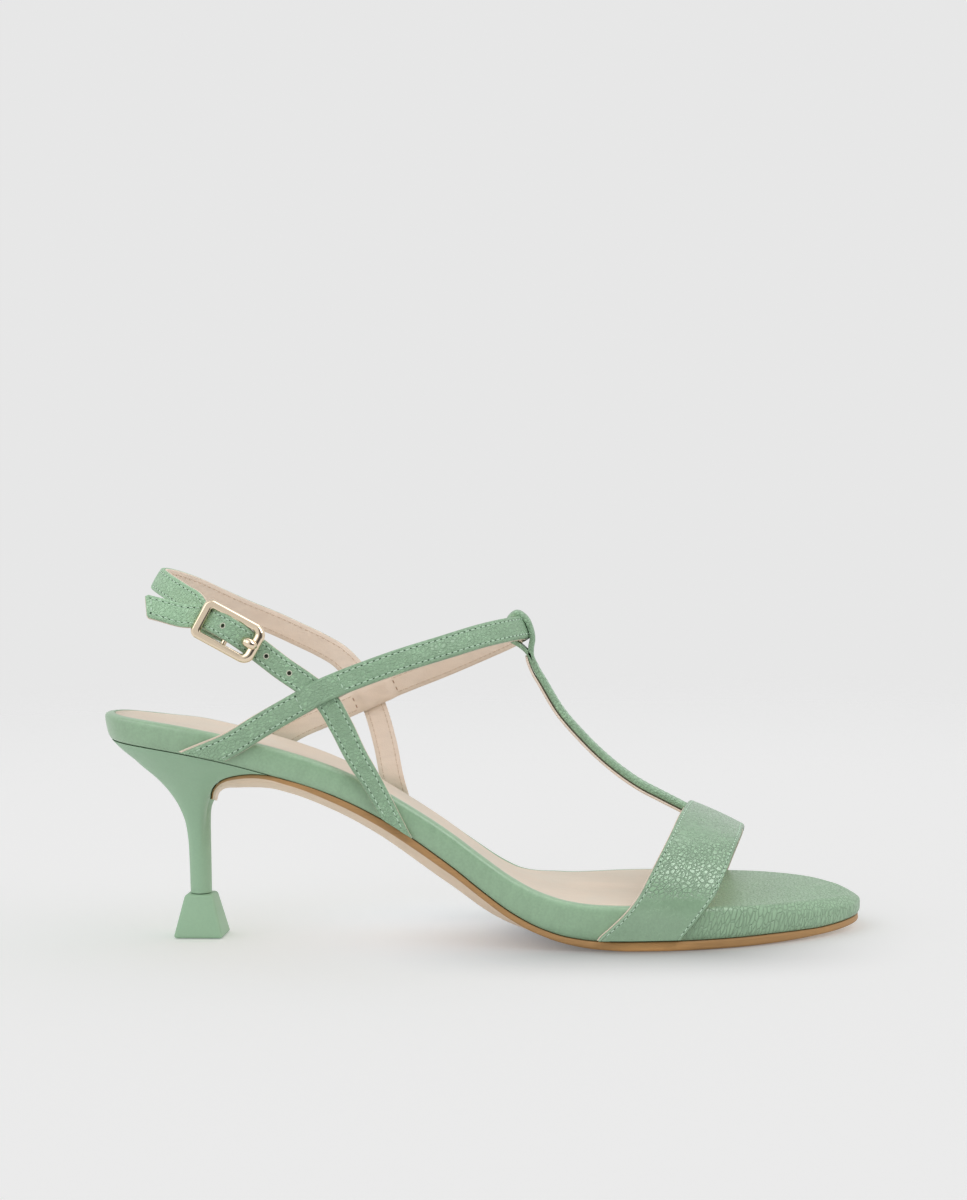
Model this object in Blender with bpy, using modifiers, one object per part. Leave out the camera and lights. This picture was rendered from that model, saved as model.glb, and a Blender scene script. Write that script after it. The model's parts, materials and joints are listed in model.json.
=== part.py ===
"""Right-foot T-bar sandal on a flared heel: sole, heel, straps and buckle as separate solids.

The shoe is drawn in millimetres. "along" runs from the back of the heel to the toe, "across" from the
outer side (minus) to the inner side (plus), "up" from the floor. The finished parts are in metres.
"""

import math

import bmesh
import bpy
import numpy as np
from mathutils import Matrix, Vector

MM = 0.001

# Overall sizes of the shoe
HEEL_BACK = -0.8
TOE_TIP = 230.8
SEAT_HEIGHT = 61.2
FIT_GAP = 0.3
BED_SKEW = 0.08

# Sole stack
OUTSOLE_THICKNESS = 3.0
OUTSOLE_INSET = 0.5
TONGUE_END_THICKNESS = 1.6
TONGUE_SQUARE = 40.0
SOCK_THICKNESS = 0.9
SOCK_INSET = 3.4
SOCK_PROUD = 0.3
SOCK_FRONT_OUTER = 171.0
SOCK_FRONT_INNER = 184.0
POCKET_HEADROOM = 3.0
BED_DISH = 1.0
HEEL_CUP_LEAN = 1.6
HEEL_CUP_REACH = 40.0
SOLE_STATIONS = 34
SOCK_STATIONS = 28
OUTSOLE_STATIONS = 30
CAP_COLUMNS = 6
END_TRIM = 2.4
RAIL_STATIONS = 4 * SOLE_STATIONS

# Heel and its top piece
STEM_ALONG = 28.3
STEM_ACROSS = -2.2
STEM_HALF_LENGTH = 3.25
STEM_HALF_WIDTH = 4.2
STEM_BOTTOM = 13.4
HEEL_FRONT = 54.0
HEEL_STATIONS = 16
HEEL_FRONT_POINTS = 5
HEEL_FRONT_BOW = 2.0
HEEL_SIDE_INSET = 0.6
BREAST_SHARPNESS = 3.0
BREAST_START = 30.0
BREAST_CUT_DEPTH = 5.0
BREAST_CUT_MARGIN = 6.0
BREAST_CUT_ROWS = 4
BREAST_LINE = 55.0
TOP_PIECE_HEIGHT = 13.1
TOP_PIECE_BASE = (14.4, 14.0)
TOP_PIECE_TOP = (8.0, 8.8)
TOP_PIECE_TURN = -5.0
TOP_PIECE_BEVEL = 0.6

# Straps
BAND_THICKNESS = 2.2
INSTEP_WIDTH = 6.5
INSTEP_THICKNESS = 2.0
ANKLE_WIDTH = 6.4
BACK_STRAP_WIDTH = 6.9
ANKLE_THICKNESS = 1.8
TBAR_WIDTH = 7.6
TBAR_THICKNESS = 1.9
LOOP_THICKNESS = 1.7
STRAP_STEP = 3.4
SHORT_STEP = 2.2
TIGHT_STEP = 1.3
FINE_STEP = 0.2
TRIM_REACH = 10.0
TRIM_DEPTH = 20.0
BAND_MIDDLE = (170.0, 0.0, 10.0)
STRAP_CHAMFER = 0.45
WALL_SEAT = 1.6
HOLE_DIAMETER = 1.9
HOLE_SPACING = 8.2
HOLES_FROM_PRONG = (-2, -1, 1)
HOLE_OVERRUN = 1.0

# Buckle
BUCKLE_CENTRE = (40.6, -28.0, 95.2)
BUCKLE_FALL = 29.3
BUCKLE_TURN = -6.0
BUCKLE_LEAN = 10.0
BUCKLE_LENGTH = 21.2
BUCKLE_WIDTH = 12.2
RAIL_WIDTH = 2.0
RAIL_THICKNESS = 2.0
RAIL_BEVEL = 0.4
BUCKLE_BACK_CORNER = 2.6
BUCKLE_FRONT_CORNER = 3.8
CORNER_STEPS = 4
BAR_RADIUS = 0.85
BAR_DROP = 1.3
RAIL_OFFSET = BUCKLE_LENGTH / 2 - RAIL_WIDTH / 2
BILLET_DIP = RAIL_THICKNESS / 2 + 2 * FIT_GAP + ANKLE_THICKNESS / 2
BILLET_CROWN = 2.3
KNUCKLE_RADIUS = 2.2
PRONG_RADIUS = 0.75
PRONG_SLOT = 2.4
PRONG_HOLE = 5.4
PRONG_STEP = 0.6


class Table:
    """Rows under named columns; a column can be read at any place along the first one."""

    def __init__(self, columns, rows):
        self.columns = columns.split()
        self.rows = np.array(rows, float)

    def column(self, name):
        return self.rows[:, self.columns.index(name)]

    def at(self, name, place):
        """Column value on a smooth curve through the rows that never overshoots them."""
        x = self.rows[:, 0]
        y = self.column(name)
        h = np.diff(x)
        rise = np.diff(y) / h
        slope = np.zeros_like(y)
        even = rise[:-1] * rise[1:] > 0
        left = (2 * h[1:] + h[:-1])[even]
        right = (h[1:] + 2 * h[:-1])[even]
        slope[1:-1][even] = (left + right) / (left / rise[:-1][even] + right / rise[1:][even])
        slope[0] = rise[0]
        slope[-1] = rise[-1]
        p = np.clip(place, x[0], x[-1])
        i = np.clip(np.searchsorted(x, p, side="right") - 1, 0, len(h) - 1)
        t = (p - x[i]) / h[i]
        near = (1 + 2 * t) * (1 - t) ** 2 * y[i] + t * (1 - t) ** 2 * h[i] * slope[i]
        far = t * t * (3 - 2 * t) * y[i + 1] + t * t * (t - 1) * h[i] * slope[i + 1]
        return near + far


# Side profile of the sole: line between outsole and board, height of the board's wall
PROFILE = Table("along joint wall", [
    (0, SEAT_HEIGHT, 7.5),
    (12, 60.1, 7.5),
    (25, 58.3, 7.5),
    (40, 55.2, 7.4),
    (55, 51.3, 7.3),
    (70, 46.1, 7.3),
    (82, 40.2, 7.4),
    (94, 32.7, 7.6),
    (104, 25.5, 7.9),
    (113, 18.2, 8.3),
    (121, 12.2, 8.6),
    (129, 7.8, 8.9),
    (137, 5.0, 9.3),
    (146, 3.5, 9.7),
    (156, 3.0, 10.0),
    (185, 3.0, 9.2),
    (200, 3.2, 8.4),
    (218, 3.9, 7.0),
    (TOE_TIP, 4.8, 5.2),
])

# Plan of the board: first and last rows are the back of the heel and the tip of the toe
OUTLINE = Table("along lateral medial", [
    (HEEL_BACK, 1.5, 1.5),
    (3.4, -12.0, 14.4),
    (12, -19.6, 21.4),
    (25, -24.5, 25.0),
    (40, -26.0, 24.8),
    (60, -27.0, 21.5),
    (80, -27.5, 18.2),
    (100, -28.5, 17.4),
    (115, -31.0, 20.4),
    (130, -34.5, 25.6),
    (145, -37.5, 31.0),
    (160, -39.0, 35.0),
    (175, -38.0, 37.2),
    (190, -33.6, 37.0),
    (205, -26.0, 33.4),
    (217, -17.0, 27.4),
    (224.6, -9.0, 21.2),
    (229.4, -0.5, 14.4),
    (TOE_TIP, 7.5, 7.5),
])

# Tongue of the outsole that turns down over the breast of the heel: its top face and its two edges
TONGUE = Table("along top lateral medial thick", [
    (32.2, 42.4, -6.0, 1.6, TONGUE_END_THICKNESS),
    (32.6, 44.2, -8.0, 3.8, TONGUE_END_THICKNESS),
    (33.6, 46.4, -11.0, 7.4, 1.8),
    (36.3, 49.1, -15.6, 12.8, 2.2),
    (40, 50.7, -19.2, 16.8, 2.6),
    (45, 51.8, -22.2, 19.6, 2.9),
    (50, 52.2, -24.4, 21.4, OUTSOLE_THICKNESS),
])

# Rounding of the outsole's underside below its edge, along the arch
DOME = Table("along drop", [
    (32.2, 0.2),
    (36.3, 1.6),
    (41, 3.0),
    (50, 4.0),
    (64, 4.3),
    (85, 4.8),
    (100, 5.4),
    (113, 5.2),
    (121, 4.1),
    (129, 2.3),
    (137, 0.8),
    (146, 0.0),
    (TOE_TIP, 0.0),
])

# Side wall of the board from its lower edge to its rounded top edge, as shares of the wall's height
BOARD_RIM = Table("share inset", [
    (0.0, 1.3),
    (0.05, 0.4),
    (0.16, 0.05),
    (0.45, -0.2),
    (0.70, -0.05),
    (0.86, 0.6),
    (0.96, 1.7),
    (1.0, 3.0),
])

# Flare of the heel: share of the drop from seat to stem, share of the spread left at that drop
FLARE = Table("drop spread", [
    (0.0, 1.0),
    (0.05, 0.905),
    (0.09, 0.81),
    (0.13, 0.71),
    (0.18, 0.60),
    (0.22, 0.50),
    (0.27, 0.39),
    (0.34, 0.265),
    (0.44, 0.135),
    (0.56, 0.047),
    (0.70, 0.014),
    (1.0, 0.0),
])

# Toe band: its rear and front edges from the outer side over the toes to the inner side
TOE_BAND = Table("rear_along rear_across rear_up front_along front_across front_up", [
    (147.5, -39.6, 0.5, 171.5, -40.1, 0.0),
    (149.8, -40.0, 4.4, 174.0, -39.9, 4.2),
    (153.3, -40.5, 7.6, 176.6, -39.5, 7.4),
    (157.2, -40.8, 11.4, 179.4, -38.9, 10.7),
    (161.7, -40.2, 17.2, 183.9, -37.0, 16.4),
    (164.7, -38.5, 22.6, 187.0, -33.6, 22.0),
    (167.9, -34.8, 28.0, 189.4, -28.5, 26.3),
    (171.1, -28.5, 32.9, 191.6, -21.0, 29.4),
    (174.0, -18.0, 36.6, 193.2, -11.0, 30.2),
    (176.7, -4.0, 38.3, 194.5, 2.5, 30.3),
    (178.6, 10.0, 37.7, 195.7, 14.0, 29.2),
    (179.4, 21.5, 35.0, 196.3, 23.5, 26.6),
    (179.0, 30.0, 30.4, 195.6, 30.8, 22.8),
    (176.8, 35.5, 24.4, 194.0, 35.8, 17.6),
    (174.0, 38.2, 17.8, 192.2, 38.3, 12.4),
    (171.5, 38.8, 11.0, 190.4, 38.7, 8.0),
    (169.5, 38.6, 4.5, 188.6, 38.8, 4.0),
    (168.3, 38.5, 0.5, 187.4, 38.8, 0.0),
])

# Paths of the narrow straps. side -1 or +1: "off" is measured outwards from that edge of the board;
# side 0: "off" is the place across. turn: heading of the strap's face, 0 outer side, 90 toe, 180 inner
# side, -90 heel. lean: how far the face looks upwards, in degrees.
STRAP_COLUMNS = "along side off up turn lean"
INSTEP = Table(STRAP_COLUMNS, [
    (24.0, -1, WALL_SEAT, 53.2, -6, 0),
    (33.7, -1, WALL_SEAT, 58.4, -4, 0),
    (41.3, -1, WALL_SEAT, 62.2, -2, 2),
    (49.5, -1, 1.6, 67.3, 0, 6),
    (61.6, 0, -29.4, 74.2, 1, 9),
    (67.6, 0, -30.7, 77.6, 2, 10),
    (73.8, 0, -30.2, 80.2, 4, 12),
    (79.6, 0, -29.0, 82.3, 6, 13),
    (91.5, 0, -27.4, 86.3, 9, 15),
    (103.3, 0, -24.2, 89.6, 15, 17),
    (115.2, 0, -17.6, 92.3, 32, 18),
    (123.0, 0, -8.6, 93.0, 60, 18),
    (126.4, 0, 1.2, 92.0, 92, 18),
    (123.2, 0, 10.6, 89.0, 124, 18),
    (114.4, 0, 18.4, 84.5, 150, 18),
    (101.6, 0, 24.4, 78.8, 166, 17),
    (88.9, 0, 27.2, 73.9, 173, 14),
    (80.0, 0, 28.0, 70.4, 177, 12),
    (74.5, 0, 27.2, 68.2, 179, 11),
    (63.5, 0, 25.6, 64.2, 180, 8),
    (57.2, 1, 2.8, 61.6, 182, 5),
    (51.3, 1, WALL_SEAT, 58.2, 184, 2),
    (44.0, 1, WALL_SEAT, 54.0, 184, 0),
    (37.0, 1, WALL_SEAT, 50.0, 184, 0),
])
OUTER_LEG = Table(STRAP_COLUMNS, [
    (93.0, -1, WALL_SEAT, 29.5, 2, 0),
    (88.5, -1, WALL_SEAT, 38.0, 2, 0),
    (82.7, -1, WALL_SEAT, 49.0, 1, 2),
    (77.8, 0, -29.2, 58.3, 0, 4),
    (73.5, 0, -29.2, 67.3, 0, 6),
    (69.0, 0, -29.3, 74.9, -2, 8),
    (63.3, 0, -29.2, 80.3, -4, 9),
    (56.5, 0, -28.5, 85.2, -5, 10),
])
FREE_END = Table(STRAP_COLUMNS, [
    (26.6, 0, -25.4, 101.1, -6, 10),
    (21.0, 0, -25.8, 101.8, -6, 10),
    (16.0, 0, -26.4, 102.4, -6, 10),
])
INNER_LEG = Table(STRAP_COLUMNS, [
    (91.0, 1, WALL_SEAT, 30.0, 178, 0),
    (88.4, 1, WALL_SEAT, 38.0, 178, 0),
    (86.6, 1, WALL_SEAT, 44.5, 178, 2),
    (84.2, 1, 3.4, 55.3, 178, 14),
    (81.0, 0, 24.6, 66.0, 179, 16),
    (79.2, 0, 26.6, 71.2, 180, 14),
    (75.0, 0, 27.4, 77.8, 182, 11),
    (70.1, 0, 27.7, 83.0, 184, 9),
    (63.8, 0, 27.7, 86.8, 185, 9),
    (57.6, 0, 27.4, 89.9, 186, 10),
    (51.3, 0, 26.7, 93.0, 189, 12),
    (39.1, 0, 23.4, 98.6, 200, 18),
    (32.6, 0, 20.0, 102.0, 212, 22),
    (26.2, 0, 15.0, 105.6, 228, 26),
    (19.6, 0, 8.4, 108.6, 248, 30),
    (16.8, 0, 0.0, 109.6, 270, 31),
    (19.6, 0, -8.8, 108.4, 294, 29),
    (25.4, 0, -15.6, 106.2, 314, 25),
    (29.8, 0, -19.6, 103.8, 328, 20),
])
TBAR = Table(STRAP_COLUMNS, [
    (183.6, 0, 1.5, 34.0, 90, 68),
    (179.2, 0, 1.4, 36.2, 90, 67),
    (175.0, 0, 1.4, 38.4, 90, 66),
    (169.7, 0, 1.3, 41.2, 90, 64),
    (163.6, 0, 1.2, 44.5, 90, 60),
    (157.4, 0, 1.2, 48.8, 90, 54),
    (151.4, 0, 1.2, 53.9, 90, 49),
    (145.3, 0, 1.2, 60.1, 90, 42),
    (139.3, 0, 1.2, 67.2, 90, 35),
    (133.6, 0, 1.2, 77.3, 90, 22),
    (131.6, 0, 1.2, 84.4, 90, 8),
    (130.9, 0, 1.2, 89.4, 90, 6),
    (130.3, 0, 1.2, 93.0, 90, 18),
    (128.7, 0, 1.2, 95.9, 90, 42),
    (126.0, 0, 1.2, 97.2, 90, 88),
])
LOOP = Table(STRAP_COLUMNS, [
    (128.7, 0, 1.2, 95.9, 90, 42),
    (126.0, 0, 1.2, 97.2, 90, 88),
    (123.6, 0, 1.2, 95.8, 90, 140),
    (123.0, 0, 1.2, 92.8, 90, 178),
    (124.2, 0, 1.2, 89.6, 90, 210),
    (127.0, 0, 1.2, 86.4, 90, 222),
    (130.2, 0, 1.2, 81.8, 90, 214),
    (133.6, 0, 1.2, 75.6, 90, 210),
])

# Last stretch of the ankle strap to the buckle's bar, in the buckle's own frame
UNDER_BUCKLE = Table("reach rise out", [
    (-9.5, 0.9, -5.0),
    (-5.0, 0.4, -3.4),
    (0.0, 0.0, -BAR_DROP - 1.3),
])

# Weave of the ankle strap through the buckle: share of the way to its front rail, height over its middle
WEAVE = Table("share out", [
    (1.0, -BILLET_DIP),
    (0.5, 0.1),
    (0.0, BILLET_CROWN),
    (-0.5, 0.1),
    (-1.0, -BILLET_DIP),
])

# Edge of the outsole: inset of its side at shares of its thickness, top to bottom
OUTSOLE_EDGE = Table("share inset", [
    (0.0, 0.3),
    (0.1, 0.0),
    (0.78, 0.0),
    (1.0, 0.45),
])

# Shaft of the prong in the buckle's own frame: towards the toe, outwards
PRONG = Table("reach out", [
    (-1.6, -0.5),
    (-0.2, 0.42),
    (1.2, -0.2),
    (2.6, -1.05),
    (3.7, -1.25),
    (4.7, -0.7),
    (5.6, 0.35),
    (6.7, 1.3),
    (8.0, 1.95),
    (RAIL_OFFSET, 2.1),
    (RAIL_OFFSET + 1.2, 1.75),
])

# Finishes: red, green, blue as seen in daylight, roughness, metal
LEATHER = ((145, 172, 146), 0.48, 0.0)
HEEL_LEATHER = ((148, 174, 149), 0.42, 0.0)
LINING = ((214, 203, 188), 0.62, 0.0)
SOLE_LEATHER = ((168, 124, 80), 0.5, 0.0)
PALE_GOLD = ((226, 208, 176), 0.22, 1.0)


def smooth_path(rows, step):
    """Points about one step apart on a smooth curve through the rows; the first three columns are places."""
    rows = np.asarray(rows, float)
    h = np.linalg.norm(np.diff(rows[:, :3], axis=0), axis=1)[:, None]
    rise = np.diff(rows, axis=0) / h
    slope = np.empty_like(rows)
    slope[1:-1] = (rise[:-1] * h[1:] + rise[1:] * h[:-1]) / (h[1:] + h[:-1])
    slope[0] = 2 * rise[0] - slope[1]
    slope[-1] = 2 * rise[-1] - slope[-2]
    pieces = []
    for i, length in enumerate(h[:, 0]):
        count = max(1, round(length / step))
        t = (np.arange(count) / count)[:, None]
        near = (1 + 2 * t) * (1 - t) ** 2 * rows[i] + t * (1 - t) ** 2 * length * slope[i]
        far = t * t * (3 - 2 * t) * rows[i + 1] + t * t * (t - 1) * length * slope[i + 1]
        pieces.append(near + far)
    pieces.append(rows[-1:])
    return np.concatenate(pieces)


def dense_loop():
    """The board's closed plan as close points with outward normals, and where the toe tip lies in it."""
    along = OUTLINE.column("along")
    outer = np.stack([along, OUTLINE.column("lateral")], 1)
    inner = np.stack([along, OUTLINE.column("medial")], 1)[-2:0:-1]
    corners = np.concatenate([outer, inner])
    wrapped = np.concatenate([corners[-3:], corners, corners[:4]])
    flat = np.column_stack([wrapped, np.zeros(len(wrapped))])
    path = smooth_path(flat, FINE_STEP)[:, :2]
    start = np.argmin(np.linalg.norm(path[: len(path) // 3] - corners[0], axis=1))
    end = len(path) - 1 - np.argmin(np.linalg.norm(path[::-1][: len(path) // 3] - corners[0], axis=1))
    loop = path[start:end]
    way = np.roll(loop, -1, 0) - np.roll(loop, 1, 0)
    way /= np.linalg.norm(way, axis=1)[:, None]
    outward = np.stack([way[:, 1], -way[:, 0]], 1)
    if np.sum(outward * (loop - loop.mean(0))) < 0:
        outward = -outward
    return loop, outward, int(np.argmax(loop[:, 0]))


LOOP_POINTS, LOOP_NORMALS, TOE_INDEX = dense_loop()


def side_rail(side, inset, places):
    """One side of the plan moved inwards, at given shares of the way from heel back to toe tip."""
    if side < 0:
        pick = np.arange(0, TOE_INDEX + 1)
    else:
        pick = np.concatenate([[0], np.arange(len(LOOP_POINTS) - 1, TOE_INDEX - 1, -1)])
    points = LOOP_POINTS[pick]
    normals = LOOP_NORMALS[pick]
    run = np.concatenate([[0], np.cumsum(np.linalg.norm(np.diff(points, axis=0), axis=1))])
    trim = END_TRIM / run[-1]
    at = (trim + (1 - 2 * trim) * places) * run[-1]
    shift = points - normals * np.asarray(inset)
    return np.stack([np.interp(at, run, shift[:, 0]), np.interp(at, run, shift[:, 1])], 1)


def share_at(side, inset, along):
    """Share of the way from heel back to toe tip at which a side of the plan reaches a place along."""
    places = np.linspace(0, 1, RAIL_STATIONS)
    rail = side_rail(side, inset, places)
    tip = np.argmax(rail[:, 0])
    return float(np.interp(along, rail[:tip, 0], places[:tip]))


def sole_loop(inset, places):
    """Closed plan loop: outer side heel to toe, then inner side toe to heel."""
    return np.concatenate([side_rail(-1, inset, places), side_rail(1, inset, places)[::-1]])


def rim_across(side, along):
    """Place across of the board's edge at a place along."""
    return float(side_rail(side, 0.0, np.array([share_at(side, 0.0, along)]))[0, 1])


def joint_up(along, across):
    """Height of the line between outsole and board."""
    return PROFILE.at("joint", along + BED_SKEW * across)


def wall_height(along, across):
    return PROFILE.at("wall", along + BED_SKEW * across)


def outsole_top(along, across):
    """Top face of the outsole: the joint line, and the tongue behind the breast line."""
    fade = np.clip((along - TONGUE_SQUARE) / (HEEL_FRONT - TONGUE_SQUARE), 0, 1)
    place = along + BED_SKEW * across * fade
    rows = np.concatenate([
        np.stack([TONGUE.column("along"), TONGUE.column("top")], 1),
        np.stack([PROFILE.column("along"), PROFILE.column("joint")], 1)[PROFILE.column("along") > HEEL_FRONT],
    ])
    return Table("along top", rows).at("top", place)


def below_outsole(points, depth):
    """Points of the outsole's top face moved down along the normal of its side profile."""
    along = points[:, 0]
    across = points[:, 1]
    step = 0.05
    spot = np.maximum(along, TONGUE.column("along")[0] + step)
    slope = (outsole_top(spot + step, across) - outsole_top(spot - step, across)) / (2 * step)
    size = np.sqrt(1 + slope ** 2)
    up = outsole_top(along, across)
    return np.stack([along + depth * slope / size, across, up - depth / size], 1)


def add_mesh(name, verts, faces):
    """A mesh object from millimetre points, with all faces turned outwards."""
    mesh = bpy.data.meshes.new(name)
    mesh.from_pydata([Vector(v) * MM for v in np.asarray(verts).tolist()], [], faces)
    work = bmesh.new()
    work.from_mesh(mesh)
    bmesh.ops.recalc_face_normals(work, faces=work.faces)
    if work.calc_volume(signed=True) < 0:
        bmesh.ops.reverse_faces(work, faces=work.faces)
    work.to_mesh(mesh)
    work.free()
    obj = bpy.data.objects.new(name, mesh)
    bpy.context.scene.collection.objects.link(obj)
    return obj


def wall_faces(rings, size):
    """Faces between closed rings of equal size that follow one another."""
    faces = []
    for level in range(rings - 1):
        low = level * size
        for k in range(size):
            nxt = (k + 1) % size
            faces.append((low + k, low + nxt, low + size + nxt, low + size + k))
    return faces


def cap_faces(ring, inside, columns):
    """Faces of a grid that fills a ladder ring; inside holds the indices between the two rails."""
    count = len(ring) // 2
    rows = [[ring[i]] + inside[i] + [ring[2 * count - 1 - i]] for i in range(count)]
    faces = []
    for i in range(1, count - 2):
        for j in range(columns):
            faces.append((rows[i][j], rows[i + 1][j], rows[i + 1][j + 1], rows[i][j + 1]))
    half = columns // 2
    for end, row in ((rows[0], rows[1]), (rows[-1], rows[-2])):
        for j in range(columns):
            faces.append((end[0] if j < half else end[-1], row[j], row[j + 1]))
        faces.append((end[0], row[half], end[-1]))
    return faces


def plate(name, rings, top_sag, bottom_sag):
    """Closed plate from ladder rings, top to bottom; the sags lower the middle of its two faces."""
    size = len(rings[0])
    count = size // 2
    verts = [tuple(p) for ring in rings for p in ring]
    faces = wall_faces(len(rings), size)
    for level, sag in ((0, top_sag), (len(rings) - 1, bottom_sag)):
        ring = rings[level]
        inside = [[] for _ in range(count)]
        for i in range(1, count - 1):
            for j in range(1, CAP_COLUMNS):
                share = j / CAP_COLUMNS
                point = ring[i] * (1 - share) + ring[size - 1 - i] * share
                drop = sag(point[0], point[1]) * (1 - (2 * share - 1) ** 2)
                inside[i].append(len(verts))
                verts.append((point[0], point[1], point[2] - drop))
        base = level * size
        faces += cap_faces([base + k for k in range(size)], inside, CAP_COLUMNS)
    return add_mesh(name, verts, faces)


def heel_lean(loop):
    """Extra inset of the board's lower edge round the heel, where its wall leans outwards."""
    return (HEEL_CUP_LEAN * np.clip(1 - loop[:, 0] / HEEL_CUP_REACH, 0, 1))[:, None]


def board_rings(grow):
    """Rings of the board from the rounded top edge down to the lower edge."""
    places = np.linspace(0, 1, SOLE_STATIONS)
    base = sole_loop(0.0, places)
    outward = base - sole_loop(1.0, places)
    rings = []
    for share, inset in BOARD_RIM.rows[::-1]:
        flat = base - outward * (inset - grow + heel_lean(base) * (1 - share))
        up = joint_up(base[:, 0], base[:, 1]) + FIT_GAP
        up = up + wall_height(base[:, 0], base[:, 1]) * share
        rings.append(np.column_stack([flat, up]))
    return rings


def make_board():
    """Leather-covered insole board, hollowed for the sock lining."""
    board = plate("insole_board", board_rings(0.0), lambda s, y: BED_DISH, lambda s, y: 0.0)
    cut(board, sock_plate("sock_pocket", FIT_GAP, SOCK_THICKNESS + 2 * FIT_GAP, POCKET_HEADROOM))
    return board


def sock_plate(name, grow, depth, height):
    """Thin plate that follows the bed inside the rim, from the heel to a slanting edge under the band."""
    rails = []
    for side, front in ((-1, SOCK_FRONT_OUTER), (1, SOCK_FRONT_INNER)):
        stop = share_at(side, SOCK_INSET - grow, front + grow)
        rails.append(side_rail(side, SOCK_INSET - grow, np.linspace(0, stop, SOCK_STATIONS)))
    loop = np.concatenate([rails[0], rails[1][::-1]])
    rim = joint_up(loop[:, 0], loop[:, 1]) + FIT_GAP + wall_height(loop[:, 0], loop[:, 1])
    high = np.column_stack([loop, rim + height])
    low = np.column_stack([loop, rim + SOCK_PROUD - depth])
    return plate(name, [high, low], lambda s, y: BED_DISH, lambda s, y: BED_DISH)


def outsole_loop(inset, rows=None):
    """Plan loop of the outsole with the tongue at its back end, or of its first rows only."""
    rails = []
    for side, name in ((-1, "lateral"), (1, "medial")):
        start = share_at(side, OUTSOLE_INSET + inset, BREAST_LINE)
        main = side_rail(side, OUTSOLE_INSET + inset, np.linspace(start, 1, OUTSOLE_STATIONS))
        tongue = np.stack([TONGUE.column("along"), TONGUE.column(name) - side * inset], 1)
        rails.append(np.concatenate([tongue, main])[:rows])
    return np.concatenate([rails[0], rails[1][::-1]])


def edge_thickness(points):
    """Thickness of the outsole, which thins towards the end of the tongue."""
    return TONGUE.at("thick", points[:, 0])


def make_outsole():
    """Leather outsole: flat tread, rounded arch and a tongue down the breast of the heel."""
    rings = []
    for share, inset in OUTSOLE_EDGE.rows:
        loop = outsole_loop(inset)
        rings.append(below_outsole(loop, edge_thickness(loop) * share))
    return plate("outsole", rings, lambda s, y: 0.0, lambda s, y: DOME.at("drop", s))


def breast_cutter():
    """Solid in front of the breast of the heel: the outsole's top face raised by the fit gap."""
    loop = outsole_loop(-BREAST_CUT_MARGIN, len(TONGUE.rows) + BREAST_CUT_ROWS)
    rings = [below_outsole(loop, -FIT_GAP), below_outsole(loop, BREAST_CUT_DEPTH)]
    return plate("breast_cutter", rings, lambda s, y: 0.0, lambda s, y: 0.0)


def make_heel():
    """Flared heel: the seat's outline drawn in to a slim oval stem, its front cut to the breast line."""
    rails = []
    for side in (-1, 1):
        even = np.linspace(0, share_at(side, HEEL_SIDE_INSET, HEEL_FRONT), HEEL_STATIONS)
        line = side_rail(side, HEEL_SIDE_INSET, even)
        outward = line - side_rail(side, HEEL_SIDE_INSET + 1, even)
        rails.append(line - outward * heel_lean(line))
    share = np.linspace(0, 1, HEEL_FRONT_POINTS + 2)[1:-1, None]
    bow = np.array([HEEL_FRONT_BOW, 0.0]) * (1 - (2 * share - 1) ** 2)
    front = rails[0][-1] * (1 - share) + rails[1][-1] * share + bow
    seat = np.concatenate([rails[0], front, rails[1][::-1]])
    top = np.column_stack([seat, joint_up(seat[:, 0], seat[:, 1])])
    middle = np.array([STEM_ALONG, STEM_ACROSS])
    angle = np.arctan2(seat[:, 1] - middle[1], seat[:, 0] - middle[0])
    stem = middle + np.stack([STEM_HALF_LENGTH * np.cos(angle), STEM_HALF_WIDTH * np.sin(angle)], 1)
    forward = np.clip((seat[:, 0] - BREAST_START) / (HEEL_FRONT - BREAST_START), 0, 1)
    power = 1 + BREAST_SHARPNESS * forward ** 2
    verts = []
    for drop, spread in FLARE.rows:
        flat = stem + (seat - stem) * (spread ** power)[:, None]
        up = top[:, 2] + (STEM_BOTTOM - top[:, 2]) * drop
        verts += np.column_stack([flat, up]).tolist()
    size = len(seat)
    faces = wall_faces(len(FLARE.rows), size)
    last = (len(FLARE.rows) - 1) * size
    faces.append(tuple(last + k for k in range(size)))
    for k in range(HEEL_STATIONS - 1):
        faces.append((k, k + 1, size - 2 - k, size - 1 - k))
    faces.append(tuple(range(HEEL_STATIONS - 1, HEEL_STATIONS + HEEL_FRONT_POINTS + 1)))
    heel = add_mesh("heel", verts, faces)
    cut(heel, breast_cutter())
    return heel


def make_top_piece():
    """Four-sided foot that the stem of the heel stands on."""
    bpy.ops.mesh.primitive_cube_add(size=MM)
    foot = bpy.context.object
    foot.name = "heel_top_piece"
    turn = Matrix.Rotation(math.radians(TOP_PIECE_TURN), 4, "Z")
    for vert in foot.data.vertices:
        spread = TOP_PIECE_TOP if vert.co.z > 0 else TOP_PIECE_BASE
        high = TOP_PIECE_HEIGHT if vert.co.z > 0 else 0.0
        corner = Vector((vert.co.x * spread[0], vert.co.y * spread[1], high * MM))
        vert.co = turn @ corner + Vector((STEM_ALONG * MM, STEM_ACROSS * MM, 0.0))
    bevel = foot.modifiers.new("soft edges", "BEVEL")
    bevel.width = TOP_PIECE_BEVEL * MM
    bevel.segments = 2
    bevel.limit_method = "ANGLE"
    return foot


def strap_rows(table):
    """Places, turn and lean of a strap's rows with the place across worked out from the board's edge."""
    rows = []
    for along, side, off, up, turn, lean in table.rows:
        across = off if side == 0 else rim_across(side, along) + side * off
        rows.append((along, across, up, turn, lean))
    return rows


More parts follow.
